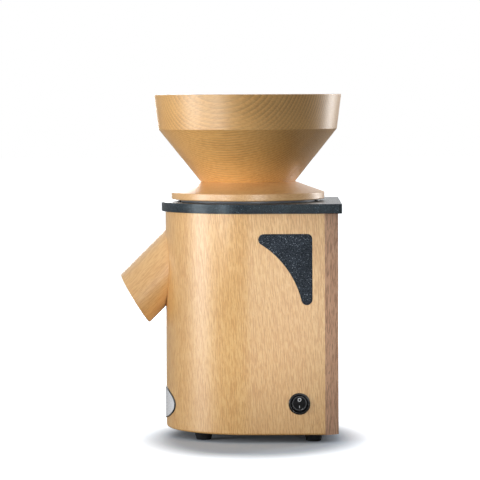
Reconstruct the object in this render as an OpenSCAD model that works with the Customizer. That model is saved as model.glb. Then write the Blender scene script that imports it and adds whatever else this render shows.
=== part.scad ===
// Electric grain mill with millstones: a wooden body with a half-round nose, a slanted spout at the
// front (-Y), a turned hopper that screws up and down over the stones, and a motor hung below them.
// The origin lies on the floor, in the middle of the mill's footprint. The switch is on the right (+X).

/* [Body] */
// Width of the wooden body over its flat sides
body_w = 184; // [165:1:204]
// How far the centre of the nose's arc lies behind the mill's axis
nose_back = 4.2; // [0:0.1:8]
// Length of the flat sides, from the nose's arc to the rear board
side_l = 75.8; // [74:0.1:100]
// Height of the wooden body, from its lower edge to the top plate
body_h = 229.5; // [215:0.5:260]
// Wall of the bent wooden shell
wall_t = 10; // [8:0.5:11]
// Thickness of the rear board
rear_t = 14; // [12:0.5:18]
// How far the rear board's chamfers reach in from the sides
rear_chamfer = 9; // [2:0.5:12]
// Thickness of the bottom plate
bottom_t = 12; // [10:0.5:18]

/* [Top plate] */
// Thickness of the dark top plate
plate_t = 10; // [8:0.5:16]
// How far the top plate overhangs the body
plate_over = 4; // [1:0.5:8]
// Chamfer on the top plate's rear corners
plate_chamfer = 3; // [1:0.5:6]
// Width of the top plate's border beside its round recess
recess_border = 20; // [16:0.5:22]
// Depth of the round recess
recess_h = 4; // [3:0.5:5]

/* [Feet] */
// Height of the rubber feet
foot_h = 8; // [6:0.5:14]
// Radius of a foot at its top
foot_r = 9.5; // [8:0.5:12]
// Radius of a foot at its sole
sole_r = 7.75; // [6:0.25:8]
// Angle of the front feet from the front, about the mill's axis
front_foot_angle = 51; // [45:1:58]
// Distance of the rear feet behind the mill's axis
rear_foot_y = 68; // [67:1:71]

/* [Hopper] */
// Radius of the hopper's rim
rim_r = 99.4; // [96:0.1:110]
// Radius where the rim band breaks into the cone
break_r = 94.7; // [88:0.1:95]
// Radius of the neck between the bowl and the collar
neck_r = 50.3; // [49:0.1:54]
// Height of the rim band
band_h = 36.5; // [25:0.5:50]
// Height of the cone
cone_h = 55.7; // [50:0.1:62]
// Wall of the bowl, square to the cone
bowl_wall = 9; // [8:0.5:11]
// Wall of the bowl at the rim
rim_wall = 8; // [6:0.5:10]
// Length of the bowl's tenon in the collar
tenon_h = 6; // [5:0.5:7]
// Wall of the tenon
tenon_wall = 8; // [6:0.5:10]

/* [Collar] */
// Radius of the flared collar below the bowl
collar_r = 81.3; // [78:0.1:90]
// Height of the collar's rim
collar_edge_h = 7.3; // [6:0.1:9]
// Height of the collar, up to the neck
collar_h = 18.5; // [16.5:0.1:22]
// Gap between the collar and the top plate at the finest setting
collar_gap = 2.3; // [2:0.1:4]
// Bevel on the collar's lower edge
collar_bevel = 0.8; // [0.4:0.1:1.5]
// Thickness of the finger guard in the throat
guard_t = 3; // [2:0.5:4]
// Width of the finger guard's bars
guard_bar_w = 4; // [3:0.5:5]

/* [Grinding] */
// Room between the millstones and the chamber's wall
stone_room = 7.5; // [7:0.5:12]
// Thickness of each millstone
stone_h = 18; // [16:0.5:19]
// Gap between the stones at the finest setting
stone_gap = 0.3; // [0.3:0.05:0.5]
// Radius of the upper stone's eye
eye_r = 12.5; // [11:0.5:14]
// How far the upper stone stands out of its holder
stone_proud = 3.7; // [3:0.1:5]
// Wall of the chamber around the stone holder's thread
thread_wall = 5; // [4.5:0.1:5.5]
// Thread pitch, the rise in one turn
thread_pitch = 1.5; // [1:0.1:2]
// How far the chamber narrows below the stone holder
chamber_step = 5; // [4.5:0.1:6]
// How far the chamber's flange stands out of its wall
flange_over = 9; // [8.5:0.5:10]
// Room between the chamber's flange and the shell, where the front battens stand
batten_room = 13; // [11:0.5:15]
// Thickness of the chamber's flange and floor
chamber_t = 6; // [5:0.5:7]
// Height of the boss under the chamber's floor
boss_h = 10; // [10:0.5:14]
// Number of furrows in each stone
furrow_n = 12; // [8:1:16]
// Depth of the furrows
furrow_h = 1; // [0.6:0.1:1.5]

/* [Spout] */
// Outer radius of the wooden spout
spout_r = 29; // [27:0.5:31]
// Radius of the spout's bore
bore_r = 18; // [17.5:0.5:19]
// Radius of the duct's bore
duct_r = 16; // [14:0.5:17]
// Wall of the duct
duct_wall = 4; // [3.5:0.5:4.5]
// Angle of the spout from the vertical
spout_angle = 45; // [44:1:48]
// Length of the spout outside the nose, along its axis
spout_l = 46.5; // [42:0.5:70]
// Angle of the mouth's face from square to the axis
mouth_skew = 14; // [0:1:16]
// Height of the spout's axis over the chamber's floor, at the chamber's outer wall
outlet_rise = 8.2; // [7.5:0.1:9]

/* [Motor] */
// Outer radius of the motor's end bells
bell_r = 54; // [53.5:0.5:54.5]
// Height of each end bell
bell_h = 26; // [25:0.5:28]
// Height of the stator stack
stack_h = 60; // [50:1:62]
// Wall of the stator stack, from its bore to its outside
stator_wall = 21.5; // [20:0.5:24]
// Air gap between rotor and stator
air_gap = 0.5; // [0.3:0.1:0.7]
// Radius of the motor shaft
shaft_r = 7.5; // [6:0.5:8]
// Outer radius of the ball bearings
bearing_r = 17.5; // [16:0.5:19]
// Width of the ball bearings
bearing_w = 11; // [9:1:12]
// How far the tie bolts' circle lies inside the end bells' outside
tie_inset = 5.7; // [5:0.1:6]
// Radius of the tie bolts
tie_r = 2.2; // [1.8:0.1:2.4]
// Radius of the cooling fan
fan_r = 46; // [38:1:48]
// Height of the fan's blades
blade_h = 12; // [8:1:13]
// Number of fan blades
blade_n = 9; // [5:1:12]

/* [Switch] */
// Height of the switch's centre
switch_z = 40.7; // [34:0.1:46]
// Distance of the switch behind the mill's axis
switch_y = 53.3; // [46:0.1:53.3]
// Radius of the switch's bezel
bezel_r = 11.3; // [11:0.1:13]
// Thickness of the bezel
bezel_t = 2; // [1.5:0.1:2.2]
// Radius of the switch's body
switch_r = 10; // [9.8:0.1:10.2]
// Depth of the switch's body behind the bezel
switch_l = 25; // [22:1:28]
// Radius of the rocker
rocker_r = 7.5; // [7:0.1:7.7]
// Angle that the rocker turns between off and on
rocker_swing = 20; // [16:1:22]
// Radius of the rocker's pivot pin
pivot_r = 1; // [0.8:0.1:1.2]

/* [Badge and inlays] */
// Width of the bare oval badge on the nose
badge_w = 89; // [60:1:96]
// Height of the badge
badge_h = 35; // [26:1:36]
// Height of the badge's centre
badge_z = 34.5; // [32:0.5:45]
// Thickness of the badge's plate
badge_t = 1.2; // [1:0.1:2]
// Width of the badge's dark rim
badge_rim_w = 1.2; // [1:0.1:2.5]
// Length of the side inlays
inlay_l = 55.7; // [50:0.1:60]
// Height of the side inlays
inlay_h = 73.4; // [68:0.1:80]
// Distance from the inlay's top edge to the top of the body
inlay_drop = 21; // [15:0.5:30]
// Distance from the inlay's rear edge to the rear board
inlay_inset = 12.9; // [10:0.1:20]
// Radius of the inlay's square corner
inlay_corner_r = 5; // [3:0.5:7]
// Radius of the inlay's two pointed ends
inlay_lobe_r = 5.7; // [4:0.1:7]
// Radius of the inlay's hollow edge
inlay_arc_r = 95; // [80:1:150]
// Depth of the inlays in the wall
inlay_t = 3; // [2:0.5:5]

/* [Fittings] */
// Height of the cable gland's centre
gland_z = 34; // [34:1:40]
// Distance of the cable gland's centre from the corner block
gland_room = 17; // [14:1:24]
// Radius of the cable's bore in the gland
cable_r = 4; // [3:0.1:4.4]
// Radius of the gland's threaded stem
gland_r = 6; // [5.5:0.1:6.5]
// Radius of the run capacitor
capacitor_r = 15; // [12:0.5:15.5]
// Height of the run capacitor
capacitor_h = 60; // [50:1:80]
// Width of a vent slot in the rear board
vent_w = 5; // [4:0.5:7]
// Length of a vent slot
vent_l = 70; // [40:1:80]
// Number of vent slots
vent_n = 5; // [3:1:6]
// Radius of the wood screws' shanks
screw_r = 2; // [1.6:0.1:2.3]
// Height of the screws' heads
screw_head_h = 2.5; // [2:0.1:3]

/* [Clearances] */
// Clearance of a running fit
run_fit = 0.06; // [0.03:0.01:0.1]
// Gap between pieces that move past each other
gap = 0.3; // [0.3:0.05:0.4]
// Clearance of a piece that is glued or screwed into its place
seat = 0.1; // [0.05:0.05:0.15]

/* [Hidden] */
$fn = 96;
far = 400;

// Heights, from the floor up
body_z = foot_h;
floor_top_z = body_z + bottom_t;
plate_z = body_z + body_h;
plate_top_z = plate_z + plate_t;
recess_z = plate_top_z - recess_h;
collar_z = plate_top_z + collar_gap;
neck_z = collar_z + collar_h;
break_z = neck_z + cone_h;
rim_z = break_z + band_h;

// Plan of the body
half_w = body_w / 2;
inner_half = half_w - wall_t;
nose_y = nose_back - half_w;
rear_y = nose_back + side_l;
back_y = rear_y + rear_t;

// From the shell inwards: chamber, thread and stones
flange_r = inner_half - batten_room;
chamber_outer_r = flange_r - flange_over;
thread_r = chamber_outer_r - thread_wall;
chamber_r = thread_r - chamber_step;
stone_r = chamber_r - stone_room;
recess_r = half_w + plate_over - recess_border;

// Hopper's funnel, one straight cone from the bowl down to the upper stone
cone_slope = (break_r - neck_r) / cone_h;
wall_across = bowl_wall * sqrt(1 + cone_slope * cone_slope);
inner_break_z = break_z + bowl_wall * cone_slope / sqrt(1 + cone_slope * cone_slope);
function funnel_r(z) = neck_r - wall_across + cone_slope * (z - neck_z);
tenon_z = neck_z - tenon_h;
guard_z = tenon_z - guard_t;
tenon_r = funnel_r(tenon_z) + tenon_wall;

// Thread ring and adjusting ring
ring_flange_t = 2;
ring_flange_r = flange_r - 3;
ring_tube_r = chamber_outer_r - 2 * seat;
ring_neck_r = thread_r + 3.5;
ring_neck_h = 2.5;
ring_outer_r = flange_r + 2;
ring_z = recess_z + ring_flange_t + gap;
ring_pin_r = 2;
ring_pin_circle_r = ring_outer_r - 6;
ring_pin_n = 3;
ring_pin_up = 7;
ring_pin_down = 3;
ring_screw_circle_r = ring_flange_r - 3.2;

// Stones and their holder, hung from the collar
web_h = 9.5;
holder_h = web_h + stone_h - stone_proud;
holder_z = collar_z - holder_h;
upper_stone_z = collar_z - web_h - stone_h;
lower_stone_z = upper_stone_z - stone_gap - stone_h;
holder_screw_circle_r = (stone_r + thread_r) / 2;
holder_bite = 8;
driver_t = 7;
driver_z = lower_stone_z - driver_t;
driver_boss_r = 14;
driver_boss_h = 8;
finger_n = 3;
finger_w = 6;
finger_h = 5;

// Grinding chamber, hung from the top plate
chamber_floor_z = driver_z - 0.8;
chamber_z = chamber_floor_z - chamber_t;
boss_z = chamber_z - boss_h;
boss_r = 42;
step_z = holder_z - 0.5;
chamber_step_r = thread_r + gap + 0.1;
flange_z = plate_z - chamber_t;
flange_screw_circle_r = (chamber_outer_r + flange_r) / 2;
flange_bite = 5;

// Spout's axis, which meets the chamber's wall above its floor
nose_run = -nose_y - chamber_outer_r;
spout_z = chamber_floor_z + outlet_rise - nose_run / tan(spout_angle);
duct_start = -66;
duct_end = 2;
spigot_r = duct_r + duct_wall + 4;

// Motor, hung from the chamber
upper_bell_z = boss_z - bell_h;
stack_z = upper_bell_z - stack_h;
lower_bell_z = stack_z - bell_h;
bell_t = 8;
bell_wall = 9;
bell_bore_r = bell_r - bell_wall;
stator_r = bell_r - 1;
rotor_r = stator_r - stator_wall - air_gap;
tie_circle_r = bell_r - tie_inset;
bearing_boss_r = bearing_r + 3.5;
winding_h = 14;
end_ring_h = 6;
tie_head_h = 3;
fan_gap = tie_head_h + 1;
fan_plate_t = 2;
fan_z = lower_bell_z - fan_gap - blade_h - fan_plate_t;
fan_hub_r = 13;
clip_t = 1.5;
clip_groove = 1;
shaft_z = fan_z - 2 * clip_t;
seal_r = 14;
seal_h = 6;
driver_screw_r = 3;
driver_head_r = 9;
driver_head_h = 4;
driver_screw_l = 20;
motor_screw_circle_r = boss_r - 6;
motor_screw_sink = 3;
tie_l = tie_head_h + bell_h + stack_h + bell_h - bell_t;

// Blocks glued into the corners; the feet are screwed into them
block_w = 20;
block_l = 16;
batten_w = 24;
block_x = inner_half - block_w / 2;
gland_x = inner_half - block_w - gland_room;
batten_in = flange_r + gap;
batten_reach = sqrt(pow(inner_half, 2) - pow(nose_back * sin(front_foot_angle), 2))
  - nose_back * cos(front_foot_angle);
batten_r = (batten_in + batten_reach) / 2;
front_foot = [batten_r * sin(front_foot_angle), -batten_r * cos(front_foot_angle)];
rear_foot = [block_x, rear_foot_y];
dowel_r = 2.5;
dowel_l = 20;
foot_screw_l = 34;
foot_head_z = 3;
panel_screw_l = 26;
panel_screw_heights = [body_z + 44, body_z + body_h / 2, body_z + body_h - 24];

// Straight runs in the badge's oval outline
oval_steps = 64;

// Rocker switch, in its own frame: the wall's face is at 0 and outward is +Z
pivot_depth = 2;
rocker_front = 4.3;
rocker_dish = 10;
rocker_back = 3;
switch_hole_r = rocker_r + 1.1;
cavity_depth = 8;
pivot_l = 19;

// Cable gland, sunk in the rear board
gland_sink = 8;
gland_head_r = 9.5;
gland_head_h = 6;
gland_nut_t = 5;
gland_stem_l = 14;

// The sub-parts are drawn about the mill's axis, which lies behind the middle of the footprint
spout_tip_y = nose_y - (spout_l - spout_r * tan(mouth_skew)) * sin(spout_angle)
  - spout_r * cos(spout_angle);
mill_y = -round((spout_tip_y + back_y + plate_over) / 2);
module placed() {
  translate([0, mill_y, 0]) children();
}

// ---------------------------------------------------------------- shared shapes

// Outline of the body: a half-round nose of radius half, flat sides and a straight back
module body_outline(half, back, chamfer = 0) {
  intersection() {
    translate([0, nose_back]) circle(r = half);
    translate([-half, nose_back - half - 1]) square([2 * half, half + 1]);
  }
  if (chamfer > 0)
    polygon([[-half, nose_back], [half, nose_back], [half, back - chamfer], [half - chamfer, back],
             [chamfer - half, back], [-half, back - chamfer]]);
  else
    translate([-half, nose_back]) square([2 * half, back - nose_back]);
}

// Upright cylinder about the nose's centre
module nose_cylinder(r) {
  translate([0, nose_back, 0]) cylinder(r = r, h = far, $fn = 180);
}

// Frame whose +Z runs out along the spout, from where its axis leaves the nose
module spout_frame() {
  translate([0, nose_y, spout_z]) rotate([180 - spout_angle, 0, 0]) children();
}

// Frame of the switch: +Z points out of the right side, +X up
module switch_frame() {
  translate([half_w, switch_y, switch_z]) rotate([0, 90, 0]) rotate([0, 0, 180]) children();
}

module tube(r, bore, h) {
  difference() {
    cylinder(r = r, h = h);
    translate([0, 0, -1]) cylinder(r = bore, h = h + 2);
  }
}

// Copies about the mill's axis
module around(n, r, start = 0) {
  for (i = [0:n - 1]) rotate([0, 0, start + i * 360 / n]) translate([r, 0, 0]) children();
}

// A pan-head screw with a cross slot; the head's underside is at 0 and the shank runs up
module screw(shank_r, shank_l, head_r, head_h) {
  difference() {
    union() {
      translate([0, 0, -head_h]) cylinder(r = head_r, h = head_h, $fn = 48);
      translate([0, 0, -head_h / 2]) cylinder(r = shank_r, h = shank_l + head_h / 2, $fn = 48);
    }
    for (turn = [0, 90])
      rotate([0, 0, turn])
        translate([-head_r * 0.6, -head_r * 0.1, -head_h - 1])
          cube([head_r * 1.2, head_r * 0.2, 1 + head_h * 0.4]);
  }
}

// Points of an arc, swept from one angle to another
function arc(centre, r, from, to, steps) =
  [for (i = [0:steps]) let (a = from + (to - from) * i / steps) centre + r * [cos(a), sin(a)]];

// Tube along a route: rings that keep their twist from one point to the next
function unit(v) = v / norm(v);
function tangent(p, i) = unit(p[min(i + 1, len(p) - 1)] - p[max(i - 1, 0)]);
function square_to(n, t) = unit(n - (n * t) * t);
function route_normals(p) =
  [for (i = 0, n = square_to([0.31, 0.23, 0.92], tangent(p, 0)); i < len(p);
        i = i + 1, n = square_to(n, tangent(p, min(i, len(p) - 1)))) n];
module lead(route, r, sides = 8) {
  normals = route_normals(route);
  rings = [for (i = [0:len(route) - 1])
    let (t = tangent(route, i), n = normals[i], b = cross(t, n))
      for (k = [0:sides - 1]) route[i] + r * (cos(360 * k / sides) * n + sin(360 * k / sides) * b)];
  last = (len(route) - 1) * sides;
  polyhedron(rings, concat(
    [[for (k = [sides - 1:-1:0]) k]],
    [for (i = [0:len(route) - 2]) for (k = [0:sides - 1])
      let (a = i * sides + k, b = i * sides + (k + 1) % sides) [a, b, b + sides, a + sides]],
    [[for (k = [0:sides - 1]) last + k]]));
}
// Smooth route through hand-chosen points
function curve_point(a, b, c, d, t) =
  0.5 * (2 * b + (c - a) * t + (2 * a - 5 * b + 4 * c - d) * t * t
         + (3 * b - a - 3 * c + d) * t * t * t);
function smooth_route(p, steps) = concat(
  [for (i = [0:len(p) - 2]) for (k = [0:steps - 1])
    curve_point(p[max(i - 1, 0)], p[i], p[i + 1], p[min(i + 2, len(p) - 1)], k / steps)],
  [p[len(p) - 1]]);

// ---------------------------------------------------------------- body

module inlay_outline(grow) {
  rear = rear_y - inlay_inset;
  top = plate_z - inlay_drop;
  lobe = inlay_lobe_r;
  front_end = [rear - inlay_l + lobe, top - lobe];
  low_end = [rear - lobe, top - inlay_h + lobe];
  chord = low_end - front_end;
  middle = (low_end + front_end) / 2;
  reach = sqrt(pow(inlay_arc_r + lobe, 2) - pow(norm(chord) / 2, 2));
  centre = middle + reach * [chord[1], -chord[0]] / norm(chord);
  start = front_end - centre;
  end = low_end - centre;
  start_angle = atan2(start[1], start[0]);
  end_angle = atan2(end[1], end[0]);
  polygon(concat(
    arc([rear - inlay_corner_r, top - inlay_corner_r], inlay_corner_r + grow, 0, 90, 6),
    arc(front_end, lobe + grow, 90, 180 + start_angle, 12),
    arc(centre, inlay_arc_r - grow, start_angle, end_angle, 24),
    arc(low_end, lobe + grow, 180 + end_angle, 360, 12)));
}

// The inlay's outline is drawn in the side's own plane, along Y and up
module inlay(side, depth, grow = 0, out = 0) {
  translate([side * (half_w - depth), 0, 0])
    mirror([side < 0 ? 1 : 0, 0, 0])
      rotate([90, 0, 90]) linear_extrude(depth + out) inlay_outline(grow);
}

module body_shell() placed() color("burlywood") difference() {
  translate([0, 0, body_z]) linear_extrude(body_h) difference() {
    body_outline(half_w, rear_y);
    body_outline(inner_half, rear_y + 1);
  }
  intersection() {
    spout_frame() translate([0, 0, duct_start]) cylinder(r = spigot_r + seat, h = far / 2);
    translate([-half_w, nose_y - 1, 0]) cube([body_w, half_w, far]);
  }
  switch_frame() translate([0, 0, -wall_t - 1]) cylinder(r = switch_r + seat, h = wall_t + 2);
  for (side = [-1, 1]) inlay(side, inlay_t + seat, seat, 1);
}

module side_inlay_right() placed() color("darkslategray") inlay(1, inlay_t);
module side_inlay_left() placed() color("darkslategray") inlay(-1, inlay_t);

module panel_screw_places() {
  for (side = [-1, 1], z = panel_screw_heights)
    translate([side * block_x, back_y - rear_t / 2, z]) rotate([90, 0, 0]) children();
}

module gland_place() {
  translate([-gland_x, back_y, gland_z]) rotate([90, 0, 0]) children();
}

module rear_panel() placed() color("sienna") difference() {
  translate([0, 0, body_z]) linear_extrude(body_h)
    polygon([[-half_w, rear_y], [half_w, rear_y], [half_w - rear_chamfer, back_y],
             [rear_chamfer - half_w, back_y]]);
  panel_screw_places() {
    translate([0, 0, -rear_t]) cylinder(r = 2 * screw_r + 0.4, h = rear_t);
    cylinder(r = screw_r + seat, h = rear_t);
  }
  gland_place() {
    translate([0, 0, -1]) cylinder(r = gland_head_r + 3, h = gland_sink + 1);
    cylinder(r = gland_r + seat, h = rear_t + 1);
  }
  for (i = [0:vent_n - 1])
    translate([0, back_y + 1, plate_z - 60 - i * 2.4 * vent_w]) rotate([90, 0, 0])
      linear_extrude(rear_t + 2) {
        square([vent_l - vent_w, vent_w], center = true);
        for (side = [-1, 1]) translate([side * (vent_l - vent_w) / 2, 0]) circle(d = vent_w + 0.02);
      }
}

module rear_panel_screws() placed() color("silver") panel_screw_places()
  screw(screw_r, panel_screw_l - rear_t / 2, 2 * screw_r, screw_head_h);

module bottom_plate() placed() color("peru") difference() {
  translate([0, 0, body_z]) linear_extrude(bottom_t) difference() {
    body_outline(inner_half - seat, rear_y - seat);
    for (p = foot_places()) translate(p) circle(r = screw_r + seat);
    for (i = [0:11]) rotate(i * 30) translate([30, 0]) circle(r = 4);
    for (i = [0:5]) rotate(i * 60) translate([16, 0]) circle(r = 4);
  }
}

module top_plate() placed() color("dimgray") difference() {
  translate([0, 0, plate_z]) linear_extrude(plate_t)
    body_outline(half_w + plate_over, back_y + plate_over, plate_chamfer);
  translate([0, 0, recess_z]) cylinder(r = recess_r, h = far, $fn = 180);
  cylinder(r = ring_tube_r + seat, h = far, $fn = 180);
  dowel_places() cylinder(r = dowel_r, h = dowel_l);
  translate([0, 0, flange_z]) around(4, flange_screw_circle_r, 45) cylinder(r = screw_r, h = chamber_t + flange_bite);
  around(4, ring_screw_circle_r) translate([0, 0, plate_z + 1]) cylinder(r = 1.5, h = far);
}

// Front feet under the battens, rear feet under the corner blocks
function foot_places() =
  [for (side = [-1, 1]) for (p = [front_foot, rear_foot]) [side * p[0], p[1]]];

module dowel_places() {
  for (side = [-1, 1], p = [front_foot, [block_x, rear_y - block_l / 2]])
    translate([side * p[0], p[1], recess_z - dowel_l]) children();
}

module plate_dowels() placed() color("wheat") dowel_places() cylinder(r = dowel_r, h = dowel_l);

module corner_blocks() placed() color("tan") difference() {
  union() {
    for (side = [-1, 1]) {
      translate([side * block_x - block_w / 2 + (side < 0 ? seat : 0), rear_y - block_l, floor_top_z])
        cube([block_w - seat, block_l, plate_z - floor_top_z]);
      intersection() {
        rotate([0, 0, side * front_foot_angle])
          translate([-batten_w / 2, -batten_r - 20, floor_top_z])
            cube([batten_w, 20 + batten_r - batten_in, plate_z - floor_top_z]);
        nose_cylinder(inner_half - seat);
      }
    }
  }
  for (p = foot_places()) translate([p[0], p[1], foot_head_z]) cylinder(r = screw_r, h = foot_screw_l);
  dowel_places() cylinder(r = dowel_r, h = dowel_l + 1);
  panel_screw_places() cylinder(r = screw_r, h = panel_screw_l - rear_t / 2);
}

module foot(p) placed() color([0.1, 0.1, 0.1]) translate([p[0], p[1], 0]) difference() {
  cylinder(r1 = sole_r, r2 = foot_r, h = foot_h);
  translate([0, 0, -1]) cylinder(r = 2 * screw_r + 0.4, h = foot_head_z + 1);
  cylinder(r = screw_r + seat, h = foot_h + 1);
}
module foot_front_left() foot([-front_foot[0], front_foot[1]]);
module foot_front_right() foot(front_foot);
module foot_rear_left() foot([-rear_foot[0], rear_foot[1]]);
module foot_rear_right() foot(rear_foot);
module foot_screws() placed() color("silver") for (p = foot_places())
  translate([p[0], p[1], foot_head_z]) screw(screw_r, foot_screw_l, 2 * screw_r, screw_head_h);

// Oval of the badge, seen from the front and drawn in from its edge by inset
module badge_outline(inset) {
  polygon([for (i = [0:oval_steps - 1]) let (a = 360 * i / oval_steps)
    [(badge_w / 2 - inset) * cos(a), (badge_h / 2 - inset) * sin(a)]]);
}

module badge_block(inset) {
  translate([0, nose_y + badge_w / 2, badge_z]) rotate([90, 0, 0])
    linear_extrude(badge_w) badge_outline(inset);
}

module badge_skin() {
  difference() {
    nose_cylinder(half_w + badge_t);
    nose_cylinder(half_w);
  }
}

module front_badge() placed() color("white") intersection() {
  badge_skin();
  badge_block(badge_rim_w);
}

module badge_rim() placed() color([0.1, 0.1, 0.1]) difference() {
  intersection() {
    badge_skin();
    badge_block(0);
  }
  badge_block(badge_rim_w);
}

// ---------------------------------------------------------------- spout and chamber

module spout() placed() color("burlywood") difference() {
  intersection() {
    spout_frame() translate([0, 0, spout_l]) rotate([-mouth_skew, 0, 0])
      translate([-far / 2, -far / 2, -far]) cube([far, far, far]);
    union() {
      difference() {
        spout_frame() translate([0, 0, duct_start]) cylinder(r = spout_r, h = far / 2);
        nose_cylinder(half_w + seat);
      }
      difference() {
        spout_frame() translate([0, 0, duct_start]) cylinder(r = spigot_r, h = spout_l - duct_start - 8);
        nose_cylinder(inner_half);
      }
    }
  }
  spout_frame() {
    translate([0, 0, duct_start - 1]) cylinder(r = duct_r + duct_wall + seat, h = duct_end + seat + 1 - duct_start);
    cylinder(r = bore_r, h = far / 2);
  }
}

module grinding_chamber() placed() color("silver") difference() {
  union() {
    translate([0, 0, chamber_z]) cylinder(r = chamber_outer_r, h = plate_z - chamber_z, $fn = 180);
    translate([0, 0, flange_z]) cylinder(r = flange_r, h = chamber_t, $fn = 180);
    translate([0, 0, boss_z]) cylinder(r = boss_r, h = boss_h + 1);
    intersection() {
      spout_frame() translate([0, 0, duct_start]) cylinder(r = duct_r + duct_wall, h = duct_end - duct_start);
      translate([-half_w, nose_y - 10, 0]) cube([body_w, body_w, plate_z]);
    }
  }
  translate([0, 0, chamber_floor_z]) cylinder(r = chamber_r, h = far, $fn = 180);
  translate([0, 0, step_z]) cylinder(r = chamber_step_r, h = far, $fn = 180);
  spout_frame() translate([0, 0, duct_start]) cylinder(r = duct_r, h = duct_end - duct_start + 1);
  cylinder(r = shaft_r + 1, h = far);
  translate([0, 0, chamber_z - seal_h]) cylinder(r = seal_r, h = seal_h);
  around(4, flange_screw_circle_r, 45) cylinder(r = screw_r + seat, h = far);
  around(4, motor_screw_circle_r, 45) {
    cylinder(r = screw_r + seat, h = far);
    translate([0, 0, chamber_floor_z - motor_screw_sink])
      cylinder(r = 2 * screw_r + 0.4, h = motor_screw_sink + 1);
  }
}

module chamber_screws() placed() color("silver") around(4, flange_screw_circle_r, 45)
  translate([0, 0, flange_z]) screw(screw_r, chamber_t + flange_bite, 2 * screw_r, screw_head_h);

module motor_screws() placed() color("silver") around(4, motor_screw_circle_r, 45)
  translate([0, 0, chamber_floor_z - motor_screw_sink]) mirror([0, 0, 1])
    screw(screw_r, chamber_t - motor_screw_sink + boss_h + bell_t - 1, 2 * screw_r, screw_head_h);

module shaft_seal() placed() color([0.15, 0.15, 0.15]) translate([0, 0, chamber_z - seal_h])
  tube(seal_r, shaft_r + run_fit, seal_h);

// ---------------------------------------------------------------- thread and adjusting ring

module thread_ring() placed() color("goldenrod") difference() {
  union() {
    translate([0, 0, plate_z]) cylinder(r = ring_tube_r, h = recess_z - plate_z + 1, $fn = 180);
    translate([0, 0, recess_z]) cylinder(r = ring_flange_r, h = ring_flange_t, $fn = 180);
    translate([0, 0, recess_z]) cylinder(r = ring_neck_r, h = ring_flange_t + ring_neck_h, $fn = 180);
  }
  cylinder(r = thread_r + run_fit, h = far, $fn = 180);
  around(4, ring_screw_circle_r) {
    cylinder(r = 1.5 + seat, h = far);
    translate([0, 0, recess_z + 1]) cylinder(r = 2.5, h = 5);
  }
}

module thread_ring_screws() placed() color("silver") around(4, ring_screw_circle_r)
  translate([0, 0, recess_z + 1]) mirror([0, 0, 1]) screw(1.5, recess_z - plate_z, 2.4, 0.9);

module ring_pin_places() {
  around(ring_pin_n, ring_pin_circle_r, 30) children();
}

module adjust_ring() placed() color("gray") difference() {
  translate([0, 0, ring_z]) cylinder(r = ring_outer_r, h = collar_z - gap - ring_z, $fn = 180);
  cylinder(r = ring_neck_r + run_fit, h = far, $fn = 180);
  ring_pin_places() cylinder(r = ring_pin_r, h = far);
}

module adjust_ring_pins() placed() color("silver") ring_pin_places()
  translate([0, 0, ring_z]) cylinder(r = ring_pin_r, h = collar_z - ring_z + ring_pin_up, $fn = 48);

// ---------------------------------------------------------------- hopper

module hopper_bowl() placed() color("burlywood") rotate_extrude($fn = 180) polygon([
  [rim_r, rim_z], [break_r, break_z], [neck_r, neck_z], [tenon_r, neck_z], [tenon_r, tenon_z],
  [funnel_r(tenon_z), tenon_z], [funnel_r(inner_break_z), inner_break_z],
  [rim_r - rim_wall, rim_z]]);

module hopper_collar() placed() color("burlywood") difference() {
  rotate_extrude($fn = 180) polygon([
    [funnel_r(collar_z), collar_z], [collar_r - collar_bevel, collar_z],
    [collar_r, collar_z + collar_bevel], [collar_r, collar_z + collar_edge_h], [neck_r, neck_z],
    [tenon_r + seat, neck_z], [tenon_r + seat, guard_z], [funnel_r(guard_z), guard_z]]);
  ring_pin_places() cylinder(r = ring_pin_r + run_fit, h = collar_z + ring_pin_up + 1);
  around(4, holder_screw_circle_r, 45) cylinder(r = screw_r, h = collar_z + holder_bite);
}

// A ring with two crossed bars; it lies under the bowl's tenon
module finger_guard() placed() color("silver") translate([0, 0, guard_z]) difference() {
  cylinder(r = tenon_r, h = guard_t);
  difference() {
    translate([0, 0, -1]) cylinder(r = funnel_r(tenon_z), h = guard_t + 2);
    for (turn = [0, 90]) rotate([0, 0, turn])
      translate([-neck_r, -guard_bar_w / 2, -2]) cube([2 * neck_r, guard_bar_w, guard_t + 4]);
  }
}

module stone_holder() placed() color("wheat") difference() {
  rotate_extrude($fn = 180) polygon([
    [stone_r + seat, holder_z], [thread_r, holder_z], [thread_r, collar_z],
    [funnel_r(collar_z), collar_z], [funnel_r(collar_z - web_h), collar_z - web_h],
    [stone_r + seat, collar_z - web_h]]);
  around(4, holder_screw_circle_r, 45) {
    cylinder(r = screw_r + seat, h = far);
    cylinder(r = 2 * screw_r + 0.2, h = holder_z + holder_h / 2);
  }
}

module holder_screws() placed() color("silver") around(4, holder_screw_circle_r, 45)
  translate([0, 0, holder_z + holder_h / 2]) screw(screw_r, holder_h / 2 + holder_bite, 2 * screw_r, screw_head_h);

// Slanted furrows cut in a grinding face; the face is at 0 and the cut goes up
module furrows(lean) {
  around(furrow_n, 0) rotate([0, 0, lean]) translate([eye_r + 8, -8, -1]) cube([stone_r, 2, 1 + furrow_h]);
}

module upper_millstone() placed() color("lightgray") translate([0, 0, upper_stone_z]) difference() {
  rotate_extrude($fn = 180) polygon([
    [eye_r + 4, 0], [stone_r, 0], [stone_r, stone_h], [eye_r + 3, stone_h],
    [eye_r, stone_h - 5], [eye_r, 5]]);
  furrows(20);
}

module lower_millstone() placed() color("lightgray") translate([0, 0, lower_stone_z]) difference() {
  rotate_extrude($fn = 180) polygon([
    [driver_boss_r + seat, 0], [stone_r, 0], [stone_r, stone_h],
    [driver_boss_r + 5, stone_h], [driver_boss_r + seat, stone_h - 5]]);
  translate([0, 0, stone_h]) mirror([0, 0, 1]) furrows(-20);
}

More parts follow.
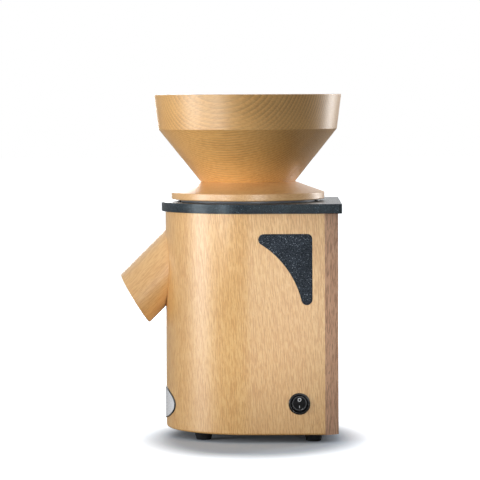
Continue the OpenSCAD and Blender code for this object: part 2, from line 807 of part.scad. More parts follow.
// Disc that carries the lower stone, with fingers that sweep the flour to the outlet
module stone_driver() placed() color("silver") translate([0, 0, driver_z]) difference() {
  union() {
    cylinder(r = stone_r, h = driver_t);
    cylinder(r = driver_boss_r, h = driver_t + driver_boss_h);
    around(finger_n, 0, 90) translate([0, -finger_w / 2, 0]) cube([chamber_r - 0.7, finger_w, finger_h]);
  }
  translate([0, 0, -1]) cylinder(r = shaft_r, h = driver_t + 1);
  cylinder(r = driver_screw_r + seat, h = far);
}

module driver_screw() placed() color("silver")
  translate([0, 0, driver_z + driver_t + driver_boss_h]) mirror([0, 0, 1])
    screw(driver_screw_r, driver_screw_l + driver_boss_h, driver_head_r, driver_head_h);

// ---------------------------------------------------------------- motor

module motor_shaft() placed() color("silver") difference() {
  translate([0, 0, shaft_z]) cylinder(r = shaft_r, h = driver_z + driver_t - shaft_z);
  translate([0, 0, shaft_z + clip_t / 2]) tube(shaft_r + 1, shaft_r - clip_groove, clip_t);
  translate([0, 0, driver_z + driver_t - driver_screw_l]) cylinder(r = driver_screw_r, h = far);
}

module rotor_core() placed() color("slategray") difference() {
  union() {
    translate([0, 0, stack_z]) cylinder(r = rotor_r, h = stack_h);
    translate([0, 0, stack_z - end_ring_h])
      cylinder(r = rotor_r - 3, h = stack_h + 2 * end_ring_h);
  }
  cylinder(r = shaft_r, h = far);
}

module cooling_fan() placed() color("black") translate([0, 0, fan_z]) difference() {
  union() {
    cylinder(r = fan_r, h = fan_plate_t);
    cylinder(r = fan_hub_r, h = fan_plate_t + blade_h);
    for (i = [0:blade_n - 1]) rotate([0, 0, i * 360 / blade_n])
      translate([fan_hub_r - 2, -1, 0]) cube([fan_r - fan_hub_r, 2, fan_plate_t + blade_h]);
  }
  translate([0, 0, -1]) cylinder(r = shaft_r, h = far);
}

module fan_clip() placed() color("silver") translate([0, 0, shaft_z + clip_t / 2]) difference() {
  tube(shaft_r + 2.5, shaft_r - clip_groove, clip_t - seat);
  translate([0, -2, -1]) cube([shaft_r + 4, 4, clip_t + 2]);
}

module bearing(z) placed() color("silver") translate([0, 0, z]) difference() {
  tube(bearing_r, shaft_r + run_fit, bearing_w);
  for (end = [-1, bearing_w - 0.5])
    translate([0, 0, end]) tube(bearing_r - 2.5, shaft_r + 2.5, 1.5);
}
module upper_bearing() bearing(boss_z - bell_t - bearing_w);
module lower_bearing() bearing(lower_bell_z + bell_t);

// Cup-shaped end bell, its closed face at 0 and its mouth up, with a seat for the bearing
module bell() {
  difference() {
    cylinder(r = bell_r, h = bell_h);
    difference() {
      translate([0, 0, bell_t]) cylinder(r = bell_bore_r, h = bell_h);
      cylinder(r = bearing_boss_r, h = bell_t + bearing_w);
    }
    translate([0, 0, bell_t]) cylinder(r = bearing_r, h = bell_h);
    translate([0, 0, -1]) cylinder(r = shaft_r + 1.5, h = bell_h);
    around(8, (bearing_boss_r + bell_bore_r) / 2, 22.5) translate([0, 0, -1]) cylinder(r = 4, h = bell_t + 2);
  }
}

module motor_upper_bell() placed() color("silver") difference() {
  translate([0, 0, boss_z]) mirror([0, 0, 1]) bell();
  around(4, motor_screw_circle_r, 45) translate([0, 0, boss_z - bell_t + 1]) cylinder(r = screw_r, h = far);
  around(4, tie_circle_r, 0) translate([0, 0, upper_bell_z - 1]) cylinder(r = tie_r, h = bell_h - bell_t + 1);
}

module motor_lower_bell() placed() color("silver") difference() {
  translate([0, 0, lower_bell_z]) bell();
  around(4, tie_circle_r, 0) cylinder(r = tie_r + seat, h = far);
}

module motor_stator() placed() color("slategray") translate([0, 0, stack_z]) difference() {
  tube(stator_r, rotor_r + air_gap, stack_h);
  around(4, tie_circle_r, 0) translate([0, 0, -1]) cylinder(r = tie_r + seat, h = far);
}

module stator_windings() placed() color("orangered") {
  for (z = [stack_z - winding_h, stack_z + stack_h])
    translate([0, 0, z]) tube(bell_bore_r - 2, rotor_r + 2, winding_h);
}

module motor_tie_bolts() placed() color("silver") around(4, tie_circle_r, 0)
  translate([0, 0, lower_bell_z]) screw(tie_r, tie_l - tie_head_h, 2 * tie_r, tie_head_h);

// ---------------------------------------------------------------- electrics

// The capacitor stands in the rear left corner, its clip against the shell
clip_wall = 1.2;
clip_h = 14;
clip_foot_l = 11;
clip_foot_w = 12;
stud_r = 4;
tab_w = 6;
tab_l = 9;
tab_t = 0.8;
clip_r = capacitor_r + clip_wall;
capacitor_place = [clip_r + gap - inner_half, rear_y - block_l - clip_r - gap, floor_top_z];

module run_capacitor() placed() color("whitesmoke") translate(capacitor_place) {
  translate([0, 0, clip_wall]) cylinder(r = capacitor_r, h = capacitor_h);
  cylinder(r = stud_r, h = 2 * clip_wall);
  for (x = [-1, 1]) translate([x * capacitor_r / 3 - tab_t / 2, -tab_w / 2, capacitor_h])
    cube([tab_t, tab_w, clip_wall + tab_l]);
}

module capacitor_clip() placed() color("silver") translate(capacitor_place) difference() {
  union() {
    cylinder(r = clip_r, h = clip_h);
    translate([0, -clip_foot_w / 2, 0]) cube([capacitor_r + clip_foot_l, clip_foot_w, clip_wall]);
  }
  translate([0, 0, clip_wall]) cylinder(r = capacitor_r, h = far);
  translate([0, 0, -1]) cylinder(r = stud_r + seat, h = far);
}

pole_pitch = 9;
pole_n = 4;
pole_h = 12;
pole_d = 10;
pole_tube_r = 3.6;
pole_screw_r = 2.2;
pole_lead_r = 1.8;
pole_lead_h = 5;
block_place = [6, rear_y - 18, floor_top_z];

module terminal_block() placed() color("whitesmoke") translate(block_place) difference() {
  union() {
    translate([0, -pole_d / 2, 0]) cube([pole_n * pole_pitch, pole_d, pole_h]);
    for (i = [0:pole_n - 1]) translate([(i + 0.5) * pole_pitch, 0, 0])
      cylinder(r = pole_tube_r, h = 1.25 * pole_h);
  }
  for (i = [0:pole_n - 1]) translate([(i + 0.5) * pole_pitch, 0, 0]) {
    translate([0, 0, 0.75 * pole_h]) cylinder(r = pole_screw_r, h = pole_h);
    translate([0, 2 * pole_d, pole_lead_h]) rotate([90, 0, 0]) cylinder(r = pole_lead_r, h = 4 * pole_d);
  }
}

module switch_body() placed() color([0.1, 0.1, 0.1]) switch_frame() difference() {
  union() {
    cylinder(r = bezel_r, h = bezel_t);
    translate([0, 0, -switch_l]) cylinder(r = switch_r, h = switch_l + 1);
  }
  translate([0, 0, -cavity_depth]) cylinder(r = switch_hole_r, h = far);
  translate([0, far / 2, -pivot_depth]) rotate([90, 0, 0]) cylinder(r = pivot_r, h = far, $fn = 48);
}

module switch_pivot() placed() color("silver") switch_frame()
  translate([0, pivot_l / 2, -pivot_depth]) rotate([90, 0, 0]) cylinder(r = pivot_r, h = pivot_l, $fn = 48);

module switch_terminals() placed() color("goldenrod") switch_frame() {
  for (place = [[-5, 0], [5, -4], [5, 4]])
    translate([place[0] - 3, place[1] - 0.4, -switch_l - 8]) cube([6, 0.8, 8]);
}

// Rocker in the off position: its upper half is pressed in
module switch_rocker() placed() color([0.12, 0.12, 0.12]) switch_frame()
  translate([0, 0, -pivot_depth]) rotate([0, rocker_swing / 2, 0]) difference() {
    intersection() {
      translate([0, 0, -rocker_back]) cylinder(r = rocker_r, h = 30);
      rotate([90, 0, 0]) translate([0, 0, -rocker_r]) linear_extrude(2 * rocker_r)
        polygon([[-rocker_r, -rocker_back], [rocker_r, -rocker_back],
                 [rocker_r, rocker_front + pivot_depth + rocker_r * tan(rocker_dish) - 2],
                 [0, rocker_front + pivot_depth - 2],
                 [-rocker_r, rocker_front + pivot_depth + rocker_r * tan(rocker_dish) - 2]]);
    }
    translate([0, far / 2, 0]) rotate([90, 0, 0]) cylinder(r = pivot_r + run_fit, h = far, $fn = 48);
  }

module cable_gland() placed() color([0.1, 0.1, 0.1]) gland_place() difference() {
  union() {
    translate([0, 0, gland_sink - gland_head_h]) cylinder(r = gland_head_r, h = gland_head_h, $fn = 6);
    translate([0, 0, gland_sink - 1]) cylinder(r = gland_r, h = gland_stem_l + 1);
  }
  translate([0, 0, -1]) cylinder(r = cable_r, h = far);
}

module gland_nut() placed() color([0.15, 0.15, 0.15]) gland_place() translate([0, 0, rear_t]) difference() {
  cylinder(r = gland_head_r, h = gland_nut_t, $fn = 6);
  translate([0, 0, -1]) cylinder(r = gland_r, h = far);
}

// Leads from the terminal block to the switch, the capacitor and the motor
lead_r = 1.2;
module wiring() placed() color("brown") {
  low = floor_top_z + pole_lead_h;
  front = block_place[1] - 1.4 * pole_d;
  pole_x = function (i) block_place[0] + (i + 0.5) * pole_pitch;
  start = function (i) [for (back = [0.2, 0.9]) [pole_x(i), block_place[1] - back * pole_d, low]];
  tail = half_w - switch_l - tab_l;
  tabs = capacitor_place + [capacitor_r / 3, 1, capacitor_h + tab_l + 2 * lead_r];
  lead(smooth_route(concat(start(3), [
    [pole_x(3) + 4 * lead_r, front - 2 * lead_r, low], [tail - 8, switch_y - 2, low + 5 * lead_r],
    [tail - 6, switch_y, switch_z - 5], [tail, switch_y - 4, switch_z - 5]]), 5), lead_r);
  lead(smooth_route(concat(start(2), [
    [pole_x(2) + 2, front - 3 * lead_r, low + 1], [tail - 14, switch_y - 6, low + 7.5 * lead_r],
    [tail - 8, switch_y + 4, switch_z - 3], [tail, switch_y + 4, switch_z - 4]]), 5), lead_r);
  lead(smooth_route(concat(start(1), [
    [6, front, low], [-18, front + 4, low + 7 * lead_r], [-34, front + 8, low + 25 * lead_r],
    [-bell_r / 1.2, bell_r - 2, tabs[2] - 2], tabs + [8, 9, 3], tabs]), 5), lead_r);
  lead(smooth_route(concat(start(0), [
    [8, front, low + 7.5 * lead_r], [-4, bell_r + 4, low + 21 * lead_r],
    [-4, bell_r + 8, lower_bell_z - 5 * lead_r], [0, bell_r + 4, lower_bell_z + 5 * lead_r],
    [0, bell_r + lead_r + 0.2, stack_z - 7 * lead_r]]), 5), lead_r);
}

body_shell();
rear_panel();
bottom_plate();
top_plate();
corner_blocks();
plate_dowels();
foot_front_left();
foot_front_right();
foot_rear_left();
foot_rear_right();
foot_screws();
rear_panel_screws();
side_inlay_right();
side_inlay_left();
front_badge();
badge_rim();
spout();
grinding_chamber();
chamber_screws();
thread_ring();
thread_ring_screws();
adjust_ring();
adjust_ring_pins();
hopper_bowl();
hopper_collar();
finger_guard();
stone_holder();
holder_screws();
upper_millstone();
lower_millstone();
stone_driver();
driver_screw();
motor_shaft();
rotor_core();
cooling_fan();
fan_clip();
upper_bearing();
lower_bearing();
shaft_seal();
motor_upper_bell();
motor_stator();
stator_windings();
motor_lower_bell();
motor_tie_bolts();
motor_screws();
run_capacitor();
capacitor_clip();
terminal_block();
switch_body();
switch_terminals();
switch_pivot();
switch_rocker();
cable_gland();
gland_nut();
wiring();
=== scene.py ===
import math

import bmesh
import bpy
from mathutils import Matrix, Quaternion, Vector


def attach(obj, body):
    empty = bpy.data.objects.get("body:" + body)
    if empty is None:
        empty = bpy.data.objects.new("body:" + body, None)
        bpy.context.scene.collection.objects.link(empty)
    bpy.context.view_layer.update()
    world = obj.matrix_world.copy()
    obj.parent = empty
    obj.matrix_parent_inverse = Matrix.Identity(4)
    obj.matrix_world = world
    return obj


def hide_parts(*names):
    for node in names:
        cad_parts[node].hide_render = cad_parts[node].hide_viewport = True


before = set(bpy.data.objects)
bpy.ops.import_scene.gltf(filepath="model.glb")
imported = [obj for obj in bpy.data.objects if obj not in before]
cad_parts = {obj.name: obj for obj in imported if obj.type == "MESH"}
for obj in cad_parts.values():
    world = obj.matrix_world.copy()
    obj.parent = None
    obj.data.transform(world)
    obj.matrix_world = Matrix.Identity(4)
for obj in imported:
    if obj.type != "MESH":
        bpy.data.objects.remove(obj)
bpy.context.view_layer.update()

mm = 0.001
millY = 19  # the mill's axis lies this far behind the origin, in mm
upright = Matrix.Translation((0, millY * mm, 0))  # a turned piece on the mill's axis
print("frame loaded:", len(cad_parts), "nodes")


# meshes, all drawn in mm about the mill's axis

def linked(name, data):
    obj = bpy.data.objects.new(name, data)
    bpy.context.scene.collection.objects.link(obj)
    return obj


def tidied(obj):
    # one skin with its faces turned outwards
    work = bmesh.new()
    work.from_mesh(obj.data)
    bmesh.ops.remove_doubles(work, verts=work.verts, dist=1e-6)
    bmesh.ops.recalc_face_normals(work, faces=work.faces)
    work.to_mesh(obj.data)
    work.free()
    return obj


def meshObject(name, points, faces, place=upright):
    mesh = bpy.data.meshes.new(name)
    mesh.from_pydata([place @ (Vector(p) * mm) for p in points], [], faces)
    return tidied(linked(name, mesh))


def settled(obj):
    # turns what the modifiers give into a plain mesh
    graph = bpy.context.evaluated_depsgraph_get()
    mesh = bpy.data.meshes.new_from_object(obj.evaluated_get(graph), depsgraph=graph)
    obj.modifiers.clear()
    obj.data = mesh
    mesh.name = obj.name
    return obj


def finished(obj, body, finish, stands=(), sharp=32):
    # smooth faces, sharp edges, finish and body of a piece; hides the CAD nodes that it stands for
    obj.data.shade_smooth()
    obj.data.set_sharp_from_angle(angle=math.radians(sharp))
    weights = obj.modifiers.new("weights", "WEIGHTED_NORMAL")
    weights.keep_sharp = True
    settled(obj)
    obj.data.materials.clear()
    obj.data.materials.append(finish)
    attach(obj, body)
    if stands:
        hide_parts(*stands)


def cutOut(obj, cutters, ease=0.0, steps=2):
    for cutter in cutters:
        cut = obj.modifiers.new("cut", "BOOLEAN")
        cut.operation = "DIFFERENCE"
        cut.solver = "EXACT"
        cut.object = cutter
    if ease:
        bevel = obj.modifiers.new("ease", "BEVEL")
        bevel.width = ease * mm
        bevel.segments = steps
        bevel.limit_method = "ANGLE"
        bevel.angle_limit = math.radians(40)
    settled(obj)
    for cutter in cutters:
        bpy.data.objects.remove(cutter)
    return tidied(obj)


def ringsObject(name, rows, place=upright, closed=True):
    # skin over rows of points; closed also joins the last row to the first
    count = len(rows[0])
    points = [p for row in rows for p in row]
    faces = []
    for i in range(len(rows) if closed else len(rows) - 1):
        a, b = i * count, (i + 1) % len(rows) * count
        for k in range(count):
            n = (k + 1) % count
            faces.append((a + k, a + n, b + n, b + k))
    return meshObject(name, points, faces, place)


def prism(name, outline, low, high, lay):
    # outline in a plane, thick from low to high; lay puts (u, v, w) in the mill's frame
    count = len(outline)
    points = [lay(u, v, low) for u, v in outline] + [lay(u, v, high) for u, v in outline]
    faces = [tuple(range(count)), tuple(range(2 * count - 1, count - 1, -1))]
    faces += [(k, (k + 1) % count, (k + 1) % count + count, k + count) for k in range(count)]
    return meshObject(name, points, faces)


def circlePoints(radius, steps):
    turns = [2 * math.pi * k / steps for k in range(steps)]
    return [(radius * math.cos(a), radius * math.sin(a)) for a in turns]


def arcPoints(centre, radius, start, end, steps):
    made = []
    for i in range(steps + 1):
        a = math.radians(start + (end - start) * i / steps)
        made.append((centre[0] + radius * math.cos(a), centre[1] + radius * math.sin(a)))
    return made


def eased(corners, steps=3):
    # corners (radius, height, ease) of a closed profile, each rounded by its ease
    made = []
    for i, (radius, height, ease) in enumerate(corners):
        here = Vector((radius, height))
        if not ease:
            made.append(here)
            continue
        back = (Vector(corners[i - 1][:2]) - here).normalized()
        ahead = (Vector(corners[(i + 1) % len(corners)][:2]) - here).normalized()
        half = math.acos(max(-1.0, min(1.0, back.dot(ahead)))) / 2
        centre = here + (back + ahead).normalized() * ease / math.sin(half)
        first = here + back * ease / math.tan(half) - centre
        last = here + ahead * ease / math.tan(half) - centre
        start = math.atan2(first.y, first.x)
        sweep = (math.atan2(last.y, last.x) - start + math.pi) % (2 * math.pi) - math.pi
        for k in range(steps + 1):
            a = start + sweep * k / steps
            made.append(centre + Vector((math.cos(a), math.sin(a))) * ease)
    return made


# node trees

def addNode(tree, kind, inputs=None, **settings):
    made = tree.nodes.new(kind)
    for name, value in settings.items():
        setattr(made, name, value)
    for name, value in (inputs or {}).items():
        if isinstance(value, bpy.types.NodeSocket):
            tree.links.new(value, made.inputs[name])
        else:
            made.inputs[name].default_value = value
    return made


def shorthand(tree):
    # adds nodes and math nodes to one tree
    def add(kind, inputs=None, **settings):
        return addNode(tree, kind, inputs, **settings)

    def maths(operation, *values):
        return add("ShaderNodeMath", dict(enumerate(values)), operation=operation).outputs[0]

    return add, maths


def openTree(name, sockets):
    # a Geometry Nodes tree with named inputs; gives the tree, its inputs and their identifiers
    tree = bpy.data.node_groups.new(name, "GeometryNodeTree")
    keys = {}
    for label, kind in sockets.items():
        socket = tree.interface.new_socket(label, in_out="INPUT", socket_type="NodeSocket" + kind)
        keys[label] = socket.identifier
    tree.interface.new_socket("Geometry", in_out="OUTPUT", socket_type="NodeSocketGeometry")
    return tree, addNode(tree, "NodeGroupInput").outputs, keys


def closeTree(tree, geometry, finish):
    real = addNode(tree, "GeometryNodeRealizeInstances", {"Geometry": geometry})
    painted = addNode(tree, "GeometryNodeSetMaterial", {"Geometry": real.outputs[0], "Material": finish})
    addNode(tree, "NodeGroupOutput", {"Geometry": painted.outputs[0]})


def grown(obj, tree, keys, values):
    # runs a tree on an object and keeps the plain mesh
    nodes = obj.modifiers.new("nodes", "NODES")
    nodes.node_group = tree
    for label, value in values.items():
        nodes[keys[label]] = value
    return tidied(settled(obj))


def turningTree():
    # sweeps a closed profile, drawn in the XZ plane, once round Z
    tree, given, keys = openTree("turning", {
        "Profile": "Geometry", "Segments": "Int", "Finish": "Material"})
    add, maths = shorthand(tree)
    size = add("GeometryNodeAttributeDomainSize", {"Geometry": given["Profile"]}).outputs[0]
    rows = maths("ADD", size, 1.0)
    grid = add("GeometryNodeMeshGrid", {
        "Vertices X": maths("ADD", given["Segments"], 1.0), "Vertices Y": rows})
    index = add("GeometryNodeInputIndex").outputs[0]
    column = maths("FLOOR", maths("DIVIDE", maths("ADD", index, 0.5), rows))
    along = maths("MODULO", maths("MODULO", index, rows), size)
    where = add("GeometryNodeInputPosition").outputs[0]
    taken = add("GeometryNodeSampleIndex", {
        "Geometry": given["Profile"], "Value": where, "Index": along},
        data_type="FLOAT_VECTOR")
    angle = maths("MULTIPLY", maths("DIVIDE", column, given["Segments"]), 2 * math.pi)
    swung = add("ShaderNodeVectorRotate", {
        "Vector": taken.outputs[0], "Angle": angle}, rotation_type="Z_AXIS")
    moved = add("GeometryNodeSetPosition", {
        "Geometry": grid.outputs[0], "Position": swung.outputs[0]})
    merged = add("GeometryNodeMergeByDistance", {
        "Geometry": moved.outputs[0], "Distance": 0.002 * mm})
    closeTree(tree, merged.outputs[0], given["Finish"])
    return tree, keys


turning, turningKeys = turningTree()


def turned(name, corners, finish, segments=128, place=upright, steps=3):
    profile = eased(corners, steps)
    count = len(profile)
    mesh = bpy.data.meshes.new(name)
    mesh.from_pydata([(p.x * mm, 0, p.y * mm) for p in profile],
                     [(i, (i + 1) % count) for i in range(count)], [])
    obj = linked(name, mesh)
    grown(obj, turning, turningKeys, {"Segments": segments, "Finish": finish})
    obj.data.transform(place)
    return obj


panHead = {"radius": 4.0, "height": 2.5, "shank": 2.0, "seed": 7,
           "foot": 0.96, "crown": 0.66, "barLong": 1.1, "barThin": 0.2, "lap": 0.2}


def screwTree():
    # pan-head screws with a cross recess, one on each point, each turned by chance
    tree, given, keys = openTree("screws", {
        "Places": "Geometry", "Head Radius": "Float", "Head Height": "Float", "Shank Radius": "Float",
        "Shank Length": "Float", "Seed": "Int", "Finish": "Material"})
    add, maths = shorthand(tree)

    def lifted(geometry, height):
        offset = add("ShaderNodeCombineXYZ", {"Z": height}).outputs[0]
        return add("GeometryNodeTransform", {"Geometry": geometry, "Translation": offset}).outputs[0]

    def box(x, y, z):
        size = add("ShaderNodeCombineXYZ", {"X": x, "Y": y, "Z": z}).outputs[0]
        return add("GeometryNodeMeshCube", {"Size": size}).outputs[0]

    radius, height = given["Head Radius"], given["Head Height"]
    rim = add("GeometryNodeMeshCone", {
        "Vertices": 32, "Radius Top": radius, "Radius Bottom": maths("MULTIPLY", radius, panHead["foot"]),
        "Depth": maths("MULTIPLY", height, 0.5)}).outputs[0]
    crown = add("GeometryNodeMeshCone", {
        "Vertices": 32, "Radius Top": maths("MULTIPLY", radius, panHead["crown"]), "Radius Bottom": radius,
        "Depth": maths("MULTIPLY", height, 0.5)}).outputs[0]
    crown = lifted(crown, maths("MULTIPLY", height, 0.5))
    shank = add("GeometryNodeMeshCylinder", {
        "Vertices": 24, "Radius": given["Shank Radius"], "Depth": given["Shank Length"]}).outputs[0]
    shank = lifted(shank, maths("ADD", maths("MULTIPLY", given["Shank Length"], -0.5), panHead["lap"] * mm))
    parts = add("GeometryNodeMeshBoolean", operation="UNION")
    for part in (rim, crown, shank):
        tree.links.new(part, parts.inputs["Mesh 2"])
    wide, thin = (maths("MULTIPLY", radius, panHead[key]) for key in ("barLong", "barThin"))
    bars = add("GeometryNodeJoinGeometry")
    for size in ((wide, thin), (thin, wide)):
        tree.links.new(lifted(box(size[0], size[1], height), height), bars.inputs[0])
    recess = add("GeometryNodeMeshBoolean", {"Mesh 1": parts.outputs[0]}, operation="DIFFERENCE")
    tree.links.new(bars.outputs[0], recess.inputs["Mesh 2"])
    facing = add("GeometryNodeInputNamedAttribute", {"Name": "facing"}, data_type="FLOAT_VECTOR")
    align = add("FunctionNodeAlignRotationToVector", {"Vector": facing.outputs[0]}, axis="Z")
    chance = add("FunctionNodeRandomValue", {"Seed": given["Seed"]}, data_type="FLOAT")
    spin = add("ShaderNodeCombineXYZ", {"Z": maths("MULTIPLY", chance.outputs[1], math.pi)})
    turn = add("FunctionNodeRotateRotation", {
        "Rotation": align.outputs[0], "Rotate By": spin.outputs[0]}, rotation_space="LOCAL")
    placed = add("GeometryNodeInstanceOnPoints", {
        "Points": given["Places"], "Instance": recess.outputs[0], "Rotation": turn.outputs[0]})
    closeTree(tree, placed.outputs[0], given["Finish"])
    return tree, keys


screws, screwKeys = screwTree()


def screwed(name, places, facing, length, finish):
    # places are the undersides of the heads, facing is the way that the heads look
    mesh = bpy.data.meshes.new(name)
    mesh.from_pydata([upright @ (Vector(p) * mm) for p in places], [], [])
    mesh.attributes.new("facing", "FLOAT_VECTOR", "POINT")
    for item in mesh.attributes["facing"].data:
        item.vector = facing
    return grown(linked(name, mesh), screws, screwKeys, {
        "Head Radius": panHead["radius"] * mm, "Head Height": panHead["height"] * mm,
        "Shank Radius": panHead["shank"] * mm, "Shank Length": length * mm, "Seed": panHead["seed"],
        "Finish": finish})


# finishes

def paint(red, green, blue):
    # a colour as seen on screen, 0 to 255, in linear light
    made = []
    for value in (red, green, blue):
        value /= 255
        made.append(value / 12.92 if value <= 0.04045 else ((value + 0.055) / 1.055) ** 2.4)
    return (*made, 1.0)


class Finish:
    # a material under construction: its tree, shader and a few shorthands
    def __init__(self, name, **sockets):
        self.material = bpy.data.materials.new(name)
        self.material.use_nodes = True
        self.tree = self.material.node_tree
        self.shader = self.tree.nodes["Principled BSDF"]
        for label, value in sockets.items():
            self.shader.inputs[label.replace("_", " ")].default_value = value

    def add(self, kind, inputs=None, **settings):
        return addNode(self.tree, kind, inputs, **settings)

    def maths(self, operation, *values):
        return self.add("ShaderNodeMath", dict(enumerate(values)), operation=operation).outputs[0]

    def times(self, first, second):
        return self.maths("MULTIPLY", first, second)

    def vector(self, operation, *values):
        return self.add("ShaderNodeVectorMath", dict(enumerate(values)), operation=operation)

    def mix(self, factor, first, second):
        return self.add("ShaderNodeMix", {0: factor, 6: first, 7: second}, data_type="RGBA").outputs[2]

    def span(self, value, low, high, toLow=0.0, toHigh=1.0):
        return self.add("ShaderNodeMapRange", {
            "Value": value, "From Min": low, "From Max": high, "To Min": toLow,
            "To Max": toHigh}).outputs[0]

    def noise(self, where, scale, detail=2.0, rough=0.5):
        return self.add("ShaderNodeTexNoise", {
            "Vector": where, "Scale": scale, "Detail": detail, "Roughness": rough}).outputs[0]

    def cells(self, where, scale):
        return self.add("ShaderNodeTexVoronoi", {"Vector": where, "Scale": scale})

    def stretch(self, where, x, y, z):
        return self.vector("MULTIPLY", where, (x, y, z)).outputs[0]

    def place(self, attribute=None):
        if attribute:
            return self.add("ShaderNodeAttribute", attribute_name=attribute).outputs["Vector"]
        return self.add("ShaderNodeTexCoord").outputs["Object"]

    def join(self, colour, rough=None, height=None, depth=0.05, strength=0.5):
        self.tree.links.new(colour, self.shader.inputs["Base Color"])
        if rough is not None:
            self.tree.links.new(rough, self.shader.inputs["Roughness"])
        if height is not None:
            bump = self.add("ShaderNodeBump", {
                "Height": height, "Distance": depth * mm, "Strength": strength})
            self.tree.links.new(bump.outputs[0], self.shader.inputs["Normal"])
        return self.material


def tonesOf(look):
    keys = ("base", "light", "dark", "pale", "fleck", "bright")
    return {key: paint(*look[key]) for key in keys if key in look}


def woodFinish(name, look):
    # growth rings round a tilted pith, pores drawn as a painted emboss (a dark side of pore colour and
    # painted shade, a pale side of painted highlight), ray flecks, broad tones
    f = Finish(name, Coat_Weight=look["varnish"], Coat_Roughness=look["gloss"], Coat_IOR=look["coat"],
               Specular_IOR_Level=look["shine"])
    turn = Vector(look["grain"]).rotation_difference(Vector((0, 0, 1))).to_matrix()
    pith = turn @ (Vector(look["pith"]) * mm)
    along = f.add("ShaderNodeMapping", {
        "Vector": f.place(look.get("attribute")), "Rotation": turn.to_euler(),
        "Location": -pith}).outputs[0]
    sway = f.add("ShaderNodeTexNoise", {
        "Vector": f.stretch(along, 1, 1, 0.3), "Scale": look["swayScale"], "Detail": 2.0})
    sway = f.vector("MULTIPLY", f.vector("SUBTRACT", sway.outputs["Color"], (0.5, 0.5, 0.5)).outputs[0],
                    (look["sway"] * mm,) * 3).outputs[0]
    bent = f.vector("ADD", along, sway).outputs[0]
    reach = f.vector("LENGTH", f.stretch(bent, 1, 1, 0)).outputs["Value"]
    loose = f.noise(f.stretch(along, 1, 1, 0.2), 30.0, 3.0)
    drift = f.times(loose, look["jitter"])
    ring = f.maths("FRACT", f.maths("ADD", f.maths("DIVIDE", reach, look["ring"] * mm), drift))
    late = f.times(f.span(ring, 0.2, 0.85), f.span(ring, 1.0, 0.88))
    late = f.times(late, f.span(f.noise(f.stretch(along, 1, 1, 0.4), 35.0), 0.35, 0.6, 0.25, 1.0))
    strokes = f.stretch(bent, 1, 1, look["dashLong"])
    dashes = f.noise(strokes, look["dashScale"], 1.0, 0.5)
    # a copy of the pores shifted a little: the difference is a painted emboss, with painted shade on one
    # side of each pore and a painted highlight on the other
    beside = f.noise(f.vector("ADD", strokes, look["edgeShift"]).outputs[0], look["dashScale"], 1.0, 0.5)
    edge = f.maths("SUBTRACT", dashes, beside)
    pore = f.span(edge, 0.02, 0.12)
    bright = f.span(edge, -0.02, -0.12)
    fibre = f.noise(f.stretch(bent, 1, 1, 0.04), 2200.0, 2.0, 0.6)
    flecks = f.cells(f.stretch(bent, look["fleckWide"], look["fleckWide"], look["fleckLong"]), 1.0)
    pick = f.add("ShaderNodeSeparateColor", {0: flecks.outputs["Color"]}).outputs[0]
    there = f.maths("GREATER_THAN", pick, look["fleckRare"])
    fleck = f.times(f.span(flecks.outputs["Distance"], 0.4, 0.15), there)
    broad = f.span(f.noise(f.stretch(along, 1, 1, 0.25), look["toneScale"], 3.0), 0.32, 0.68)
    stripe = f.span(f.noise(f.stretch(along, 1, 1, 0.03), 75.0, 2.0), 0.35, 0.65)
    tone = tonesOf(look)
    colour = f.mix(broad, tone["base"], tone["light"])
    colour = f.mix(f.times(stripe, look["stripeDepth"]), colour, tone["dark"])
    colour = f.mix(f.times(late, look["ringDepth"]), colour, tone["dark"])
    # a painted highlight on the pale side of each pore, then pore colour and painted shade on its dark side
    colour = f.mix(f.times(bright, look["brightDepth"]), colour, tone["pale"])
    colour = f.mix(f.times(pore, look["poreDepth"]), colour, tone["fleck"])
    colour = f.mix(f.span(fibre, 0.5, 0.8, 0.0, look["fibreDepth"]), colour, tone["dark"])
    colour = f.mix(f.times(fleck, look["fleckDepth"]), colour, tone["fleck"])
    rough = f.maths("ADD", f.span(dashes, 0.35, 0.65, look["rough"] - 0.05, look["rough"] + 0.08),
                    f.times(fleck, 0.1))
    sunk = f.maths("ADD", dashes, f.times(fleck, 0.4))
    sunk = f.maths("ADD", sunk, f.times(late, look["ringRelief"]))
    height = f.maths("SUBTRACT", f.times(fibre, 0.3), sunk)
    return f.join(colour, rough, height, look["relief"], 0.6)


coolSheen = (0.78, 0.92, 1.0, 1)


def speckFinish(name, look):
    # dark cast composite with pale and bright grains in clouds
    f = Finish(name, Specular_IOR_Level=look["shine"], Specular_Tint=coolSheen)
    where = f.place()

    def grains(scale, channel, rare, far, near):
        # the middles of some cells, picked by one channel of their colour
        found = f.cells(where, scale).outputs
        pick = f.add("ShaderNodeSeparateColor", {0: found["Color"]}).outputs[channel]
        return f.times(f.maths("GREATER_THAN", pick, rare), f.span(found["Distance"], far, near))

    pale = grains(look["grainScale"], 0, look["paleRare"], 0.6, 0.25)
    crowd = f.span(f.noise(where, look["cloudScale"], 4.0, 0.6), 0.4, 0.62)
    bright = grains(look["grainScale"] * 0.55, 1, look["sparkRare"], 0.35, 0.12)
    fine = f.noise(where, look["grainScale"] * 1.3, 2.0)
    tone = tonesOf(look)
    colour = f.mix(crowd, tone["base"], tone["light"])
    colour = f.mix(f.span(fine, 0.45, 0.7, 0.0, 0.5), colour, tone["dark"])
    share = f.span(crowd, 0, 1, look["paleDepth"] * 0.45, look["paleDepth"])
    colour = f.mix(f.times(pale, share), colour, tone["pale"])
    colour = f.mix(f.times(bright, f.span(crowd, 0, 1, 0.35, 1.0)), colour, tone["bright"])
    height = f.maths("ADD", f.times(fine, 0.7), pale)
    rough = f.span(fine, 0.3, 0.7, look["rough"] - 0.08, look["rough"] + 0.1)
    return f.join(colour, rough, height, 0.1, 0.5)


